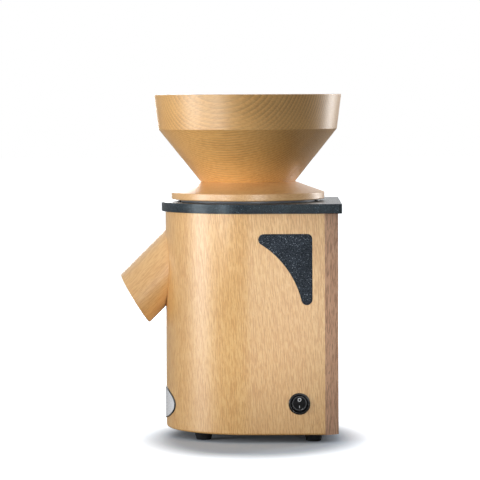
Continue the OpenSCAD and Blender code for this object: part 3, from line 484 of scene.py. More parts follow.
def grainFinish(name, colour, other, scale=60.0, rough=0.4, depth=0.04, strength=0.4, metallic=0.0,
                across=(1, 1, 1), spots=0.0, grime=0.35, **sockets):
    # moulded, cast or machined stuff: clouds of tone, a fine grain or brushing, and a few spots
    f = Finish(name, Metallic=metallic, **sockets)
    where = f.place()
    lying = f.stretch(where, *across)
    cloud = f.span(f.noise(where, scale * 0.3, 3.0), 0.3, 0.7)
    fine = f.noise(lying, scale * 12.0, 3.0, 0.6)
    shade = f.mix(cloud, paint(*colour), paint(*other))
    shade = f.mix(f.span(fine, 0.4, 0.75, 0.0, grime), shade, paint(*[v * 0.72 for v in colour]))
    height = fine
    if spots:
        pits = f.span(f.cells(where, scale * 5.0).outputs["Distance"], 0.0, 0.3, 1.0, 0.0)
        shade = f.mix(f.times(pits, spots), shade, paint(*[v * 0.5 for v in colour]))
        height = f.maths("SUBTRACT", fine, pits)
    return f.join(shade, f.span(fine, 0.25, 0.75, max(rough - 0.08, 0.03), rough + 0.1), height, depth,
                  strength)


def layeredFinish(name, first, second, pitch, rough=0.55, metallic=0.0, streak=(0.05, 0.05, 1)):
    # layers stacked along Z, as in plywood and stamped motor plates
    f = Finish(name, Metallic=metallic)
    where = f.place()
    height = f.add("ShaderNodeSeparateXYZ", {0: where}).outputs[2]
    step = f.maths("FRACT", f.maths("DIVIDE", height, 2 * pitch * mm))
    band = f.times(f.span(step, 0.44, 0.5), f.span(step, 1.0, 0.94))
    streaks = f.noise(f.stretch(where, *streak), 900.0, 3.0)
    colour = f.mix(band, paint(*first), paint(*second))
    colour = f.mix(f.span(streaks, 0.45, 0.75, 0.0, 0.4), colour, paint(*[v * 0.7 for v in first]))
    return f.join(colour, f.span(streaks, 0.3, 0.7, rough - 0.06, rough + 0.08),
                  f.maths("ADD", streaks, f.times(band, 0.5)), 0.06, 0.5)


beech = {
    "base": (234, 181, 108), "light": (240, 191, 120), "dark": (214, 154, 84), "pale": (254, 216, 150),
    "fleck": (184, 116, 52), "rough": 0.38, "varnish": 0.9, "gloss": 0.42, "coat": 1.65, "shine": 0.5,
    # the pores carry a painted emboss: a painted highlight on one side, pore colour and painted shade on
    # the other
    "relief": 0.16, "ringRelief": 0.1, "edgeShift": (0.0006, 0.0004, 0),
    "sway": 4.0, "swayScale": 9.0, "jitter": 1.4, "ring": 9.0, "ringDepth": 0.22, "stripeDepth": 0.2,
    "dashScale": 900.0, "dashLong": 0.1, "brightDepth": 0.42, "poreDepth": 0.36, "fibreDepth": 0.12,
    "fleckWide": 1000.0, "fleckLong": 300.0, "fleckRare": 0.5, "fleckDepth": 0.35, "toneScale": 14.0,
}
veneerWood = woodFinish("beechVeneer", {
    **beech, "attribute": "unrolled", "grain": (0.02, 0.05, 1), "pith": (240, -70, 0)})
bowlWood = woodFinish("beechBowl", {
    **beech, "base": (231, 174, 94), "light": (239, 187, 110), "dark": (150, 98, 44),
    "pale": (250, 210, 142), "grain": (0.28, 0.96, 0.03), "pith": (160, 5, 375), "ring": 3.2,
    "ringDepth": 0.5, "ringRelief": 0.5,
    "jitter": 0.5, "dashScale": 700.0, "dashLong": 0.16, "poreDepth": 0.2, "brightDepth": 0.14,
    "stripeDepth": 0.08})
collarWood = woodFinish("beechCollar", {
    **beech, "base": (230, 178, 110), "light": (240, 192, 128), "grain": (0.5, -0.85, 0.05),
    "pith": (30, 60, 200), "ring": 4.0, "ringDepth": 0.35, "stripeDepth": 0.35, "dashScale": 950.0,
    "poreDepth": 0.2, "brightDepth": 0.2})
spoutWood = woodFinish("beechSpout", {
    **beech, "base": (230, 178, 110), "light": (238, 192, 128), "grain": (0.05, -0.7071, -0.7071),
    "pith": (30, -60, 260), "ring": 6.0, "ringDepth": 0.3, "dashScale": 950.0, "poreDepth": 0.2,
    "brightDepth": 0.2})
boardWood = woodFinish("beechBoard", {
    **beech, "base": (226, 172, 132), "light": (234, 184, 146), "dark": (182, 128, 94),
    "pale": (240, 198, 164), "fleck": (134, 88, 64), "grain": (0.02, 0.03, 1), "pith": (40, 190, 0),
    "ring": 5.0, "ringDepth": 0.4, "dashScale": 950.0, "poreDepth": 0.5})
blockWood = woodFinish("beechBlocks", {
    **beech, "grain": (0.05, 0.02, 1), "pith": (10, 150, 0), "ring": 5.0, "varnish": 0.0, "rough": 0.6})
paleWood = woodFinish("palePegs", {
    **beech, "base": (222, 196, 156), "light": (232, 208, 170), "dark": (196, 166, 126),
    "pale": (240, 222, 192), "fleck": (176, 146, 108), "grain": (0.1, 0.1, 1), "pith": (0, 40, 0),
    "ring": 4.0, "varnish": 0.0, "rough": 0.62})
slate = speckFinish("speckledSlate", {
    "base": (19, 27, 33), "light": (28, 38, 46), "dark": (10, 14, 18), "pale": (66, 80, 90),
    "bright": (120, 136, 148), "grainScale": 1200.0, "cloudScale": 60.0, "paleRare": 0.3, "sparkRare": 0.8,
    "paleDepth": 0.8, "rough": 0.3, "shine": 0.36})
inlayStone = speckFinish("speckledInlay", {
    "base": (21, 24, 30), "light": (33, 38, 46), "dark": (10, 12, 16), "pale": (92, 101, 113),
    "bright": (176, 186, 198), "grainScale": 1300.0, "cloudScale": 28.0, "paleRare": 0.35,
    "sparkRare": 0.62,
    "paleDepth": 0.75, "rough": 0.5, "shine": 0.15})
ply = layeredFinish("birchPly", (214, 182, 138), (186, 148, 104), 1.4, streak=(0.06, 1, 1))
rubber = grainFinish("footRubber", (22, 23, 25), (30, 31, 34), 90.0, 0.42, 0.05, Specular_IOR_Level=0.35)
seal = grainFinish("sealRubber", (28, 28, 30), (40, 40, 42), 90.0, 0.55, 0.05)
enamel = grainFinish("badgeEnamel", (248, 250, 253), (251, 252, 255), 40.0, 0.28, 0.01, 0.2, grime=0.06,
                     Coat_Weight=0.5, Coat_Roughness=0.25)
badgeTrim = grainFinish("badgeTrim", (38, 42, 48), (52, 56, 62), 70.0, 0.35, 0.02)
zinc = grainFinish("zincSteel", (186, 188, 190), (204, 206, 208), 80.0, 0.3, 0.02, 0.4, 1.0, (1, 1, 0.1))
castAlloy = grainFinish("castAlloy", (176, 178, 180), (192, 194, 196), 60.0, 0.5, 0.1, 0.5, 1.0, spots=0.4)
brass = grainFinish("turnedBrass", (202, 166, 92), (214, 180, 108), 70.0, 0.3, 0.02, 0.4, 1.0,
                    (0.2, 0.2, 4))
greyRing = grainFinish("greyRing", (112, 118, 126), (126, 132, 140), 50.0, 0.4, 0.01, 0.3, 0.0,
                       (0.2, 0.2, 4))
shaftSteel = grainFinish("groundSteel", (196, 198, 202), (210, 212, 216), 70.0, 0.22, 0.01, 0.4, 1.0,
                         (0.2, 0.2, 3))
coreSteel = layeredFinish("stackedSteel", (120, 122, 126), (92, 94, 98), 0.5, 0.45, 0.9, (1, 1, 0.05))
copper = grainFinish("woundCopper", (178, 92, 48), (196, 112, 62), 90.0, 0.38, 0.2, 0.8, 0.6,
                     (1, 1, 0.15), spots=0.4)
millstone = grainFinish("ceramicStone", (206, 200, 190), (222, 217, 208), 60.0, 0.78, 0.3, 0.8, spots=0.5)
fanPlastic = grainFinish("fanPlastic", (36, 37, 40), (46, 47, 50), 60.0, 0.45, 0.03)
palePlastic = grainFinish("palePlastic", (222, 221, 214), (232, 231, 226), 60.0, 0.4, 0.02)
switchPlastic = grainFinish("switchPlastic", (14, 16, 19), (20, 22, 26), 60.0, 0.2, 0.015, 0.3,
                            Specular_IOR_Level=0.5)
rockerPlastic = grainFinish("rockerPlastic", (9, 10, 12), (13, 14, 16), 60.0, 0.34, 0.015, 0.3,
                            Specular_IOR_Level=0.1)
# light grey for the bead round the rocker's black rim: a painted highlight
beadGrey = grainFinish("rockerBead", (128, 130, 134), (144, 146, 150), 60.0, 0.22, 0.01, 0.2)
markPaint = grainFinish("markPaint", (236, 238, 241), (244, 245, 247), 60.0, 0.4, 0.01, 0.2)
leadPlastic = grainFinish("leadPlastic", (126, 66, 44), (140, 76, 52), 60.0, 0.4, 0.02)
print("finishes made:", len(bpy.data.materials))


# wooden body, bent round the nose

body = {
    "half": 92.0, "noseBack": 4.2, "rear": 80.0, "wall": 10.0, "low": 8.0, "high": 237.5,
    "edge": 2.2,  # rounding of the lower edge
    "noseSteps": 96, "sideSteps": 6, "spoutHole": 24.1, "spoutCut": (-20, 60), "switchHole": 10.1,
    "switchCut": (-14, 4),
}
inlay = {"rear": 67.1, "top": 216.5, "long": 55.7, "tall": 73.4, "corner": 5.0, "lobe": 5.7, "hollow": 95.0,
         "deep": 3.0, "gap": 0.1, "ease": 0.35}
over = 2.0  # what a cutter reaches past the face that it cuts
noseLength = math.pi * body["half"]
sideLength = body["rear"] - body["noseBack"]


def outline(depth):
    # plan of the body from the rear right, round the nose, to the rear left
    radius, steps = body["half"] - depth, body["sideSteps"]
    made = [(radius, body["rear"] - sideLength * i / steps) for i in range(steps)]
    for i in range(body["noseSteps"] + 1):
        a = math.pi * i / body["noseSteps"]
        made.append((radius * math.cos(a), body["noseBack"] - radius * math.sin(a)))
    made += [(-radius, body["noseBack"] + sideLength * i / steps) for i in range(1, steps + 1)]
    return made


def unroll(obj):
    # lays the bent wall flat: run along it, depth in it, height
    obj.data.attributes.new("unrolled", "FLOAT_VECTOR", "POINT")
    for vertex, item in zip(obj.data.vertices, obj.data.attributes["unrolled"].data):
        x, y, z = vertex.co / mm
        y -= millY + body["noseBack"]
        if y > 0:
            run = sideLength - y if x > 0 else sideLength + noseLength + y
            depth = body["half"] - abs(x)
        else:
            run = sideLength + body["half"] * math.atan2(-y, x)
            depth = body["half"] - math.hypot(x, y)
        item.vector = (run * mm, depth * mm, z * mm)


def inlayOutline(grow):
    # curved triangle: a right angle with a rounded corner, and a lobe at both ends of a hollow side
    rear, top, lobe = inlay["rear"], inlay["top"], inlay["lobe"]
    front = Vector((rear - inlay["long"] + lobe, top - lobe))
    low = Vector((rear - lobe, top - inlay["tall"] + lobe))
    chord = low - front
    reach = math.sqrt((inlay["hollow"] + lobe) ** 2 - (chord.length / 2) ** 2)
    centre = (low + front) / 2 + reach * Vector((chord.y, -chord.x)).normalized()
    start = math.degrees(math.atan2(*reversed(front - centre)))
    end = math.degrees(math.atan2(*reversed(low - centre)))
    corner = (rear - inlay["corner"], top - inlay["corner"])
    return (arcPoints(corner, inlay["corner"] + grow, 0, 90, 8)
            + arcPoints(front, lobe + grow, 90, 180 + start, 14)
            + arcPoints(centre, inlay["hollow"] - grow, start, end, 30)[1:-1]
            + arcPoints(low, lobe + grow, 180 + end, 360, 14))


def onSide(side):
    return lambda u, v, w: (side * w, u, v)


spoutY, spoutZ, spoutLean = -87.8, 176.6, 135
spoutFrame = (upright @ Matrix.Translation((0, spoutY * mm, spoutZ * mm))
              @ Matrix.Rotation(math.radians(spoutLean), 4, "X"))
switchPlace = (92.0, 53.3, 40.7)
switchFrame = upright @ Matrix.Translation(Vector(switchPlace) * mm) @ Matrix(
    ((0, 0, 1, 0), (0, -1, 0, 0), (1, 0, 0, 0), (0, 0, 0, 1)))


def rod(name, radius, low, high, place, steps=64):
    rows = [[(x, y, z) for x, y in circlePoints(radius, steps)] for z in (low, high)]
    obj = ringsObject(name, rows, place, closed=False)
    work = bmesh.new()
    work.from_mesh(obj.data)
    bmesh.ops.holes_fill(work, edges=work.edges)
    bmesh.ops.recalc_face_normals(work, faces=work.faces)
    work.to_mesh(obj.data)
    work.free()
    return obj


def makeBody():
    edge, low, high = body["edge"], body["low"], body["high"]
    section = [(0, high)]
    section += [(edge - x, low + edge - y) for x, y in arcPoints((0, 0), edge, 0, 90, 4)]
    section += [(body["wall"], low), (body["wall"], high)]
    rows = [[(x, y, z) for x, y in outline(depth)] for depth, z in section]
    count = len(rows[0])
    across = [[row[k] for row in rows] for k in range(count)]
    points = [p for ring in across for p in ring]
    size = len(section)
    faces = []
    for k in range(count - 1):
        for i in range(size):
            n = (i + 1) % size
            faces.append((k * size + i, k * size + n, (k + 1) * size + n, (k + 1) * size + i))
    faces += [tuple(range(size)), tuple(range(count * size - 1, (count - 1) * size - 1, -1))]
    shell = meshObject("bodyShell", points, faces)
    cutters = [rod("spoutHole", body["spoutHole"], *body["spoutCut"], spoutFrame),
               rod("switchHole", body["switchHole"], *body["switchCut"], switchFrame)]
    floor = body["half"] - (inlay["deep"] + inlay["gap"])
    for side in (1, -1):
        cutters.append(prism("pocket", inlayOutline(inlay["gap"]), floor, body["half"] + over,
                             onSide(side)))
    cutOut(shell, cutters)
    unroll(shell)
    finished(shell, "housing", veneerWood, ["body_shell"])


makeBody()
for side, name in ((1, "right"), (-1, "left")):
    slab = prism("inlay" + name.capitalize(), inlayOutline(0), body["half"] - inlay["deep"], body["half"],
                 onSide(side))
    cutOut(slab, [], inlay["ease"])
    finished(slab, "housing", inlayStone, ["side_inlay_" + name])
print("body made")


# rear board, top plate and spout

board = {"front": 80.0, "back": 94.0, "half": 92.0, "chamfer": 9.0, "low": 8.0, "high": 237.5,
         "screwX": 72.0, "screwHeights": (52.0, 122.75, 213.5), "seat": 4.4, "seatDeep": 7.0, "hole": 2.1,
         "screw": 19.0, "glandX": -45.0, "glandZ": 34.0, "glandSeat": 12.5, "glandDeep": 8.0,
         "glandHole": 6.1,
         "through": -16.0, "ease": 0.5,
         "slots": 5, "slotTop": 177.5, "slotPitch": 12.0, "slotLong": 70.0, "slotWide": 5.0}


def makeBoard():
    half, chamfer = board["half"], board["chamfer"]
    front, back = board["front"], board["back"]
    plan = [(-half, front), (half, front), (half - chamfer, back), (chamfer - half, back)]
    rear = prism("rearBoard", plan, board["low"], board["high"], lambda u, v, w: (u, v, w))

    def facing(x, z):
        place = Matrix.Translation(Vector((x, back, z)) * mm)
        return upright @ place @ Matrix.Rotation(math.radians(-90), 4, "X")

    def seated(place, seat, deep, hole, seatSteps, holeSteps):
        return [rod("seat", seat, -deep, over, place, seatSteps),
                rod("hole", hole, board["through"], over - deep, place, holeSteps)]

    cutters = []
    for side in (-1, 1):
        for height in board["screwHeights"]:
            place = facing(side * board["screwX"], height)
            cutters += seated(place, board["seat"], board["seatDeep"], board["hole"], 32, 24)
    place = facing(board["glandX"], board["glandZ"])
    cutters += seated(place, board["glandSeat"], board["glandDeep"], board["glandHole"], 64, 48)
    for i in range(board["slots"]):
        middle = board["slotTop"] - i * board["slotPitch"]
        reach, bend = (board["slotLong"] - board["slotWide"]) / 2, board["slotWide"] / 2
        slot = arcPoints((reach, middle), bend, -90, 90, 10)
        slot += arcPoints((-reach, middle), bend, 90, 270, 10)
        cutters.append(prism("slot", slot, front - over, back + over, lambda u, v, w: (u, w, v)))
    cutOut(rear, cutters, board["ease"])
    finished(rear, "housing", boardWood, ["rear_panel"])


makeBoard()
plate = {"half": 96.0, "back": 98.0, "chamfer": 3.0, "low": 237.5, "high": 247.5, "recess": 76.0,
         "floor": 243.5,
         "bore": 59.9, "ease": 0.7, "steps": 144, "cut": 5.0}


def makePlate():
    half, back, chamfer, steps = plate["half"], plate["back"], plate["chamfer"], plate["steps"]
    low, high = plate["low"], plate["high"]
    plan = [(half, body["noseBack"])] + [(half, back - chamfer), (half - chamfer, back)]
    plan += [(chamfer - half, back), (-half, back - chamfer)]
    plan += arcPoints((0, body["noseBack"]), half, 180, 360, steps)[:-1]
    top = prism("topPlate", plan, low, high, lambda u, v, w: (u, v, w))
    cutOut(top, [rod("recess", plate["recess"], plate["floor"], high + plate["cut"], upright, steps),
                 rod("bore", plate["bore"], low - plate["cut"], high + plate["cut"], upright, steps)],
                 plate["ease"])
    finished(top, "housing", slate, ["top_plate"])


makePlate()

spout = {"outer": 29.0, "bore": 18.0, "spigot": 24.0, "duct": 20.1, "ductEnd": 2.1, "length": 46.5,
         "skew": 14.0,
         "ease": 1.0, "bends": (0.4, 0.8, 1.2), "lap": 0.1, "steps": 96}


def makeSpout():
    slope = math.tan(math.radians(spout["skew"]))
    root = math.sqrt(0.5)

    def mouth(sink):
        return lambda x, y: spout["length"] - y * slope - sink

    def step(x, y):
        return spout["ductEnd"]

    def onNose(radius):
        return lambda x, y: (math.sqrt(radius ** 2 - x * x) - body["half"]) / root - y

    rows = []
    ease, outer, bore = spout["ease"], spout["outer"], spout["bore"]
    outside, inside = onNose(body["half"] + spout["lap"]), onNose(body["half"] - body["wall"])
    rims = [(outer, outside), (outer, mouth(ease))]
    rims += [(outer - ease + ease * math.cos(a), mouth(ease - ease * math.sin(a))) for a in spout["bends"]]
    rims += [(outer - ease, mouth(0)), (bore + ease, mouth(0))]
    rims += [(bore + ease - ease * math.sin(a), mouth(ease - ease * math.cos(a))) for a in spout["bends"]]
    rims += [(bore, mouth(ease)), (bore, step), (spout["duct"], step), (spout["duct"], inside),
             (spout["spigot"], inside), (spout["spigot"], outside)]
    for radius, reach in rims:
        rows.append([(x, y, reach(x, y)) for x, y in circlePoints(radius, spout["steps"])])
    pipe = ringsObject("spout", rows, spoutFrame)
    finished(pipe, "housing", spoutWood, ["spout"])


makeSpout()
print("board, plate and spout made")


# hopper, turned from solid beech

hopper = {
    "rim": 99.4, "rimZ": 360.5, "break": 94.7, "breakZ": 324.0, "neck": 50.3, "neckZ": 268.3,
    "rimWall": 8.0, "wall": 9.0, "tenonZ": 262.3, "tenonWall": 8.0, "steps": 160,
}
coneSlope = (hopper["break"] - hopper["neck"]) / (hopper["breakZ"] - hopper["neckZ"])
coneSide = math.sqrt(1 + coneSlope ** 2)
innerBreakZ = hopper["breakZ"] + hopper["wall"] * coneSlope / coneSide


def funnel(z):
    return hopper["neck"] - hopper["wall"] * coneSide + coneSlope * (z - hopper["neckZ"])


tenon = funnel(hopper["tenonZ"]) + hopper["tenonWall"]
bowl = turned("hopperBowl", [
    (hopper["rim"], hopper["rimZ"], 0.6), (hopper["break"], hopper["breakZ"], 0.7),
    (hopper["neck"], hopper["neckZ"], 0.7), (tenon, hopper["neckZ"], 0), (tenon, hopper["tenonZ"], 0),
    (funnel(hopper["tenonZ"]), hopper["tenonZ"], 0.5), (funnel(innerBreakZ), innerBreakZ, 6.0),
    (hopper["rim"] - hopper["rimWall"], hopper["rimZ"], 1.4)], bowlWood, hopper["steps"], steps=4)
finished(bowl, "hopper", bowlWood, ["hopper_bowl"])

collar = {"radius": 81.3, "low": 249.8, "edge": 7.3, "bevel": 0.8, "guardZ": 259.3, "gap": 0.1}
socket = tenon + collar["gap"]
ring = turned("hopperCollar", [
    (funnel(collar["low"]), collar["low"], 0.3), (collar["radius"] - collar["bevel"], collar["low"], 0.3),
    (collar["radius"], collar["low"] + collar["bevel"], 0.3),
    (collar["radius"], collar["low"] + collar["edge"], 0.7),
    (hopper["neck"], hopper["neckZ"], 0.4), (socket, hopper["neckZ"], 0), (socket, collar["guardZ"], 0),
    (funnel(collar["guardZ"]), collar["guardZ"], 0.3)], collarWood, hopper["steps"])
finished(ring, "hopper", collarWood, ["hopper_collar"])

adjuster = {"inner": 58.56, "outer": 71, "low": 245.8, "high": 249.5}
ring = turned("adjustRing", [
    (adjuster["inner"], adjuster["low"], 0.2), (adjuster["outer"], adjuster["low"], 0.3),
    (adjuster["outer"], adjuster["high"], 0.6), (adjuster["inner"], adjuster["high"], 0.3)], greyRing,
    hopper["steps"])
finished(ring, "adjuster", greyRing, ["adjust_ring"])
print("hopper made")


# badge on the nose

badge = {"wide": 89.0, "tall": 35.0, "height": 34.5, "rim": 1.2, "thick": 1.2, "steps": 128, "axis": 0.25,
         "rings": (0.12, 0.25, 0.4, 0.55, 0.7, 0.85, 1.0)}


def onBadge(inset, lift, inner=0.0):
    # a ring of the oval, drawn in from its edge and lifted off the nose
    # inner, 0 to 1, closes it towards its long axis
    made = []
    for k in range(badge["steps"]):
        a = 2 * math.pi * k / badge["steps"]
        x = (badge["wide"] / 2 - inset) * (1 - badge["axis"] * inner) * math.cos(a)
        z = badge["height"] + (badge["tall"] / 2 - inset) * (1 - inner) * math.sin(a)
        made.append((x, body["noseBack"] - math.sqrt((body["half"] + lift) ** 2 - x * x), z))
    return made


def makeBadge():
    rim, thick = badge["rim"], badge["thick"]
    trim = ringsObject("badgeRim", [onBadge(*p) for p in (
        (0, 0), (0, thick - 0.5), (0.12, thick - 0.15), (0.4, thick), (rim - 0.4, thick),
        (rim - 0.1, thick - 0.12),
        (rim, thick - 0.4), (rim, 0))])
    finished(trim, "housing", badgeTrim, ["badge_rim"])
    levels = [(rim, 0), (rim, thick - 0.6), (rim + 0.15, thick - 0.45)]
    skin = [onBadge(rim, 0, share) for share in reversed(badge["rings"])] + [onBadge(*p) for p in levels]
    skin += [onBadge(rim + 0.15, thick - 0.4, share) for share in badge["rings"]]
    face = ringsObject("badgeFace", skin, closed=False)
    finished(face, "housing", enamel, ["front_badge"])


makeBadge()
print("badge made")


# feet, screws and switch

foot = {"top": 9.5, "sole": 7.75, "tall": 8.0, "head": 4.4, "headDeep": 3.0, "shank": 2.1, "screw": 34.0,
        "aside": 51.0, "near": 69.3, "far": 82.0, "rear": (72.0, 68.0)}
# the front feet stand this far round from the nose, midway from near to far
aside = math.radians(foot["aside"])
footReach = (math.sqrt(foot["far"] ** 2 - (body["noseBack"] * math.sin(aside)) ** 2)
             - body["noseBack"] * math.cos(aside))
footMiddle = (foot["near"] + footReach) / 2
footPlaces = {"front": (footMiddle * math.sin(aside), -footMiddle * math.cos(aside)), "rear": foot["rear"]}
for end, (footX, footY) in footPlaces.items():
    for side, name in ((-1, "left"), (1, "right")):
        pad = turned("foot" + end.capitalize() + name.capitalize(), [
            (foot["shank"], foot["tall"], 0), (foot["top"], foot["tall"], 0.3), (foot["sole"], 0, 1.0),
            (foot["head"], 0, 0.3), (foot["head"], foot["headDeep"], 0),
            (foot["shank"], foot["headDeep"], 0)],
            rubber, 64, upright @ Matrix.Translation((side * footX * mm, footY * mm, 0)))
        finished(pad, "housing", rubber, ["foot_" + end + "_" + name])

heads = [(side * x, y, foot["headDeep"]) for x, y in footPlaces.values() for side in (-1, 1)]
finished(screwed("footScrews", heads, (0, 0, -1), foot["screw"], zinc), "housing", zinc,
         ["foot_screws"])
seatY = board["back"] - board["seatDeep"]
heads = [(side * board["screwX"], seatY, z) for side in (-1, 1) for z in board["screwHeights"]]
finished(screwed("boardScrews", heads, (0, 1, 0), board["screw"], zinc), "housing", zinc,
         ["rear_panel_screws"])

switch = {"bezel": 11.3, "bezelThick": 2.0, "bezelEdge": 0.9, "crown": 10.4, "lip": 9.4, "lipDeep": 1.5,
          "barrel": 10.0,
          "deep": 25.0, "hollow": 8.6, "hollowDeep": 8.0, "pivotDeep": 2.0, "tilt": 10.0}
rocker = {
    "radius": 7.5, "front": 4.3, "dish": 10.0, "soft": 0.8, "sag": 0.9, "back": 3.0, "pole": 0.02,
    "steps": 72,
    # share of the radius, depth under the face
    "edge": ((1.0, 0.7), (0.985, 0.32), (0.955, 0.1), (0.915, 0.0), (0.8, 0.0), (0.65, 0.0), (0.5, 0.0),
             (0.3, 0.0), (0.12, 0.0), (0.0027, 0.0)),
    # radius, lift off the face
    "bead": ((6.8, -0.05), (6.8, 0.1), (6.88, 0.16), (7.1, 0.1), (7.16, 0.0), (7.16, -0.15)),
    "marks": {"low": -0.02, "high": 0.04, "ringX": 3.6, "ringInner": 1.2, "ringOuter": 1.9,
              "barFrom": -4.9, "barTo": -2.3, "barHalf": 0.26},
}
housingPiece = turned("switchBody", [
    (0, -switch["deep"], 0), (switch["barrel"], -switch["deep"], 0.5), (switch["barrel"], 0, 0),
    (switch["bezel"], 0, 0.1), (switch["bezel"], switch["bezelEdge"], 0.4),
    (switch["crown"], switch["bezelThick"], 0.8), (switch["lip"], switch["bezelThick"], 0.4),
    (switch["hollow"], switch["lipDeep"], 0.2), (switch["hollow"], -switch["hollowDeep"], 0),
    (0, -switch["hollowDeep"], 0)],
    switchPlastic, 96, switchFrame)
finished(housingPiece, "housing", switchPlastic, ["switch_body"])
rockerFrame = (switchFrame @ Matrix.Translation((0, 0, -switch["pivotDeep"] * mm))
               @ Matrix.Rotation(math.radians(switch["tilt"]), 4, "Y"))


def rockerFace(x):
    # dished both ways from the pivot, with a soft middle
    rise = math.sqrt(x * x + rocker["soft"]) - rocker["sag"]
    return rocker["front"] + rise * math.tan(math.radians(rocker["dish"]))


def onRocker(radius, lift, x=0.0):
    # a ring of points that follows the rocker's face
    ring = [(x + u, v) for u, v in circlePoints(radius, rocker["steps"])]
    return [(u, v, rockerFace(u) + lift) for u, v in ring]


def makeRocker():
    def ride(obj, finish, stands=(), sharp=32):
        finished(obj, "rocker", finish, stands, sharp)

    radius, steps = rocker["radius"], rocker["steps"]
    rows = []
    for reach in (rocker["pole"], radius):
        rows.append([(x, y, -rocker["back"]) for x, y in circlePoints(reach, steps)])
    rows += [onRocker(share * radius, -sink) for share, sink in rocker["edge"]]
    ride(ringsObject("switchRocker", rows, rockerFrame), rockerPlastic, ["switch_rocker"], 40)
    marks = rocker["marks"]
    low, high, inner, outer = (marks[key] for key in ("low", "high", "ringInner", "ringOuter"))
    rows = [onRocker(*p, marks["ringX"]) for p in ((inner, low), (outer, low), (outer, high),
                                                   (inner, high))]
    ride(ringsObject("offMark", rows, rockerFrame), markPaint)
    # the bead round the rocker's rim, in light grey as a painted highlight
    rows = [onRocker(*p) for p in rocker["bead"]]
    ride(ringsObject("rockerBead", rows, rockerFrame), beadGrey)
    start, end, half = marks["barFrom"], marks["barTo"], marks["barHalf"]
    ends = [(start, -half), (end, -half), (end, half), (start, half)]
    points = [(x, y, rockerFace(x) + lift) for lift in (low, high) for x, y in ends]
    faces = [(0, 1, 2, 3), (7, 6, 5, 4), (0, 4, 5, 1), (1, 5, 6, 2), (2, 6, 7, 3), (3, 7, 4, 0)]
    ride(meshObject("onMark", points, faces, rockerFrame), markPaint)


makeRocker()
print("feet, screws and switch made")


# finishes of the CAD nodes that stay

cadFinishes = {
    ply: ["bottom_plate"], blockWood: ["corner_blocks"], paleWood: ["plate_dowels", "stone_holder"],
    castAlloy: ["grinding_chamber", "stone_driver", "motor_upper_bell", "motor_lower_bell"],
    brass: ["thread_ring", "switch_terminals"],
    zinc: ["chamber_screws", "thread_ring_screws", "adjust_ring_pins", "finger_guard", "holder_screws",
           "driver_screw",
           "fan_clip", "motor_tie_bolts", "motor_screws", "capacitor_clip"],
    shaftSteel: ["motor_shaft", "upper_bearing", "lower_bearing"],
    coreSteel: ["rotor_core", "motor_stator"],
    copper: ["stator_windings"], millstone: ["upper_millstone", "lower_millstone"], seal: ["shaft_seal"],
    fanPlastic: ["cooling_fan"], palePlastic: ["run_capacitor", "terminal_block"],
    switchPlastic: ["cable_gland", "gland_nut", "switch_pivot"], leadPlastic: ["wiring"],
}
for finish, names in cadFinishes.items():
    for name in names:
        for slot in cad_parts[name].material_slots:
            slot.material = finish
print("inner pieces finished")


# floor, light and camera

studio = {
    "floorHalf": 12.0, "floorSeen": (0.74, 0.83, 0.94, 1), "floorBounce": (0.34, 0.34, 0.34, 1),
    "worldLight": 0.31, "worldTint": (0.93, 0.97, 1.0, 1),
    # where the floor's glow turns it plain white for the camera
    "fade": {"centre": (0.05, 0.025), "reach": (0.2, 0.145), "soft": 0.55},
    "strip": {"place": (0.66, -1.68, 0.24), "aim": (0, 0, 0.17), "size": (0.62, 0.56), "power": 15.0},
    "rim": {"place": (-0.92, 1.31, 0.5), "aim": (0, 0, 0.25), "size": (0.3, 0.9), "power": 10.0},
    "fill": {"place": (-1.9, -0.3, 0.6), "aim": (0, 0, 0.2), "size": (0.6, 0.8), "power": 12.0},
    "panel": {"place": (2.25, 0.62, 0.25), "aim": (0, -0.01, 0.13), "cone": 7.6, "blend": 0.5,
              "power": 96.0},
    "bowl": {"place": (1.8, -1.3, 0.2), "aim": (0, 0.01, 0.32), "cone": 6.2, "blend": 0.6, "power": 76.0},
    "lampSoft": 0.08, "floorZ": -0.0002,
    "eye": (2.9, 0.0507, 0.3635), "lens": 204.6, "yaw": 0.798, "pitch": -3.116, "roll": -0.271,
    "sensor": 36.0, "clip": (0.05, 60.0),
}


def makeFloor():
    half = studio["floorHalf"]
    corners = ((-half, -half), (half, -half), (half, half), (-half, half))
    mesh = bpy.data.meshes.new("floor")
    mesh.from_pydata([(x, y, studio["floorZ"]) for x, y in corners], [], [(0, 1, 2, 3)])
    floor = linked("floor", mesh)
    material = bpy.data.materials.new("paleFloor")
    material.use_nodes = True
    tree = material.node_tree
    add = shorthand(tree)[0]
    tree.nodes.remove(tree.nodes["Principled BSDF"])

    def matt(tone):
        return add("ShaderNodeBsdfDiffuse", {"Color": tone}).outputs[0]

    fade = studio["fade"]
    where = add("ShaderNodeMapping", {
        "Vector": add("ShaderNodeTexCoord").outputs["Object"],
        "Location": (*[-v for v in fade["centre"]], 0)})
    flat = add("ShaderNodeVectorMath", {
        0: where.outputs[0], 1: (1 / fade["reach"][0], 1 / fade["reach"][1], 0)}, operation="MULTIPLY")
    away = add("ShaderNodeVectorMath", {0: flat.outputs[0]}, operation="LENGTH")
    lift = add("ShaderNodeMapRange", {
        "Value": away.outputs["Value"], "From Min": fade["soft"], "From Max": 1.0},
        interpolation_type="SMOOTHSTEP")
    # the floor glows for the camera only away from the mill; near the mill it shows its own lit shade and
    # the mill's shadow
    glow = add("ShaderNodeEmission", {"Strength": lift.outputs[0]})
    seen = add("ShaderNodeAddShader", {0: matt(studio["floorSeen"]), 1: glow.outputs[0]})
    path = add("ShaderNodeLightPath").outputs
    both = add("ShaderNodeMixShader", {
        0: path["Is Camera Ray"], 1: matt(studio["floorBounce"]), 2: seen.outputs[0]})
    tree.links.new(both.outputs[0], tree.nodes["Material Output"].inputs["Surface"])
    mesh.materials.append(material)


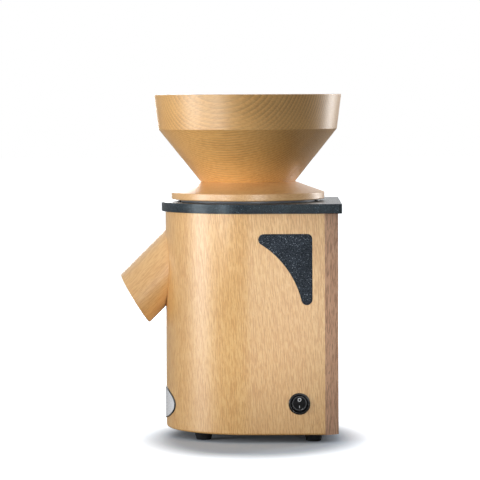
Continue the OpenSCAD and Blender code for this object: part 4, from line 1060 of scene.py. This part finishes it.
def makeWorld():
    world = bpy.data.worlds.new("studio")
    bpy.context.scene.world = world
    world.use_nodes = True
    tree = world.node_tree
    add, maths = shorthand(tree)
    light = tree.nodes["Background"]
    light.inputs["Color"].default_value = studio["worldTint"]
    light.inputs["Strength"].default_value = studio["worldLight"]
    white = add("ShaderNodeBackground", {"Color": (1, 1, 1, 1), "Strength": 1.0})
    path = add("ShaderNodeLightPath").outputs
    seen = maths("MAXIMUM", path["Is Camera Ray"], path["Is Glossy Ray"])
    seen = maths("MAXIMUM", seen, path["Is Transmission Ray"])
    both = add("ShaderNodeMixShader", {0: seen, 1: light.outputs[0], 2: white.outputs[0]})
    tree.links.new(both.outputs[0], tree.nodes["World Output"].inputs["Surface"])


def makeLamp(name, kind):
    look = studio[name]
    data = bpy.data.lights.new(name, kind)
    data.energy = look["power"]
    if kind == "AREA":
        data.shape = "RECTANGLE"
        data.size, data.size_y = look["size"]
    else:
        data.spot_size = math.radians(look["cone"])
        data.spot_blend = look["blend"]
        data.shadow_soft_size = studio["lampSoft"]
    lamp = linked(name, data)
    lamp.location = look["place"]
    lamp.rotation_euler = (Vector(look["aim"]) - Vector(look["place"])).to_track_quat("-Z", "Y").to_euler()


def makeCamera():
    data = bpy.data.cameras.new("photoCamera")
    data.sensor_width = studio["sensor"]
    data.lens = studio["lens"]
    data.clip_start, data.clip_end = studio["clip"]
    camera = linked("photoCamera", data)
    camera.location = studio["eye"]
    pitch, yaw = math.radians(studio["pitch"]), math.radians(studio["yaw"])
    forward = Vector((-math.cos(pitch) * math.cos(yaw), -math.cos(pitch) * math.sin(yaw), math.sin(pitch)))
    turn = forward.to_track_quat("-Z", "Y") @ Quaternion((0, 0, 1), math.radians(studio["roll"]))
    camera.rotation_euler = turn.to_euler()
    bpy.context.scene.camera = camera


makeFloor()
makeWorld()
for name in ("strip", "rim", "fill"):
    makeLamp(name, "AREA")
for name in ("panel", "bowl"):
    makeLamp(name, "SPOT")
makeCamera()
bpy.context.scene.view_settings.view_transform = "Standard"
print("studio made")
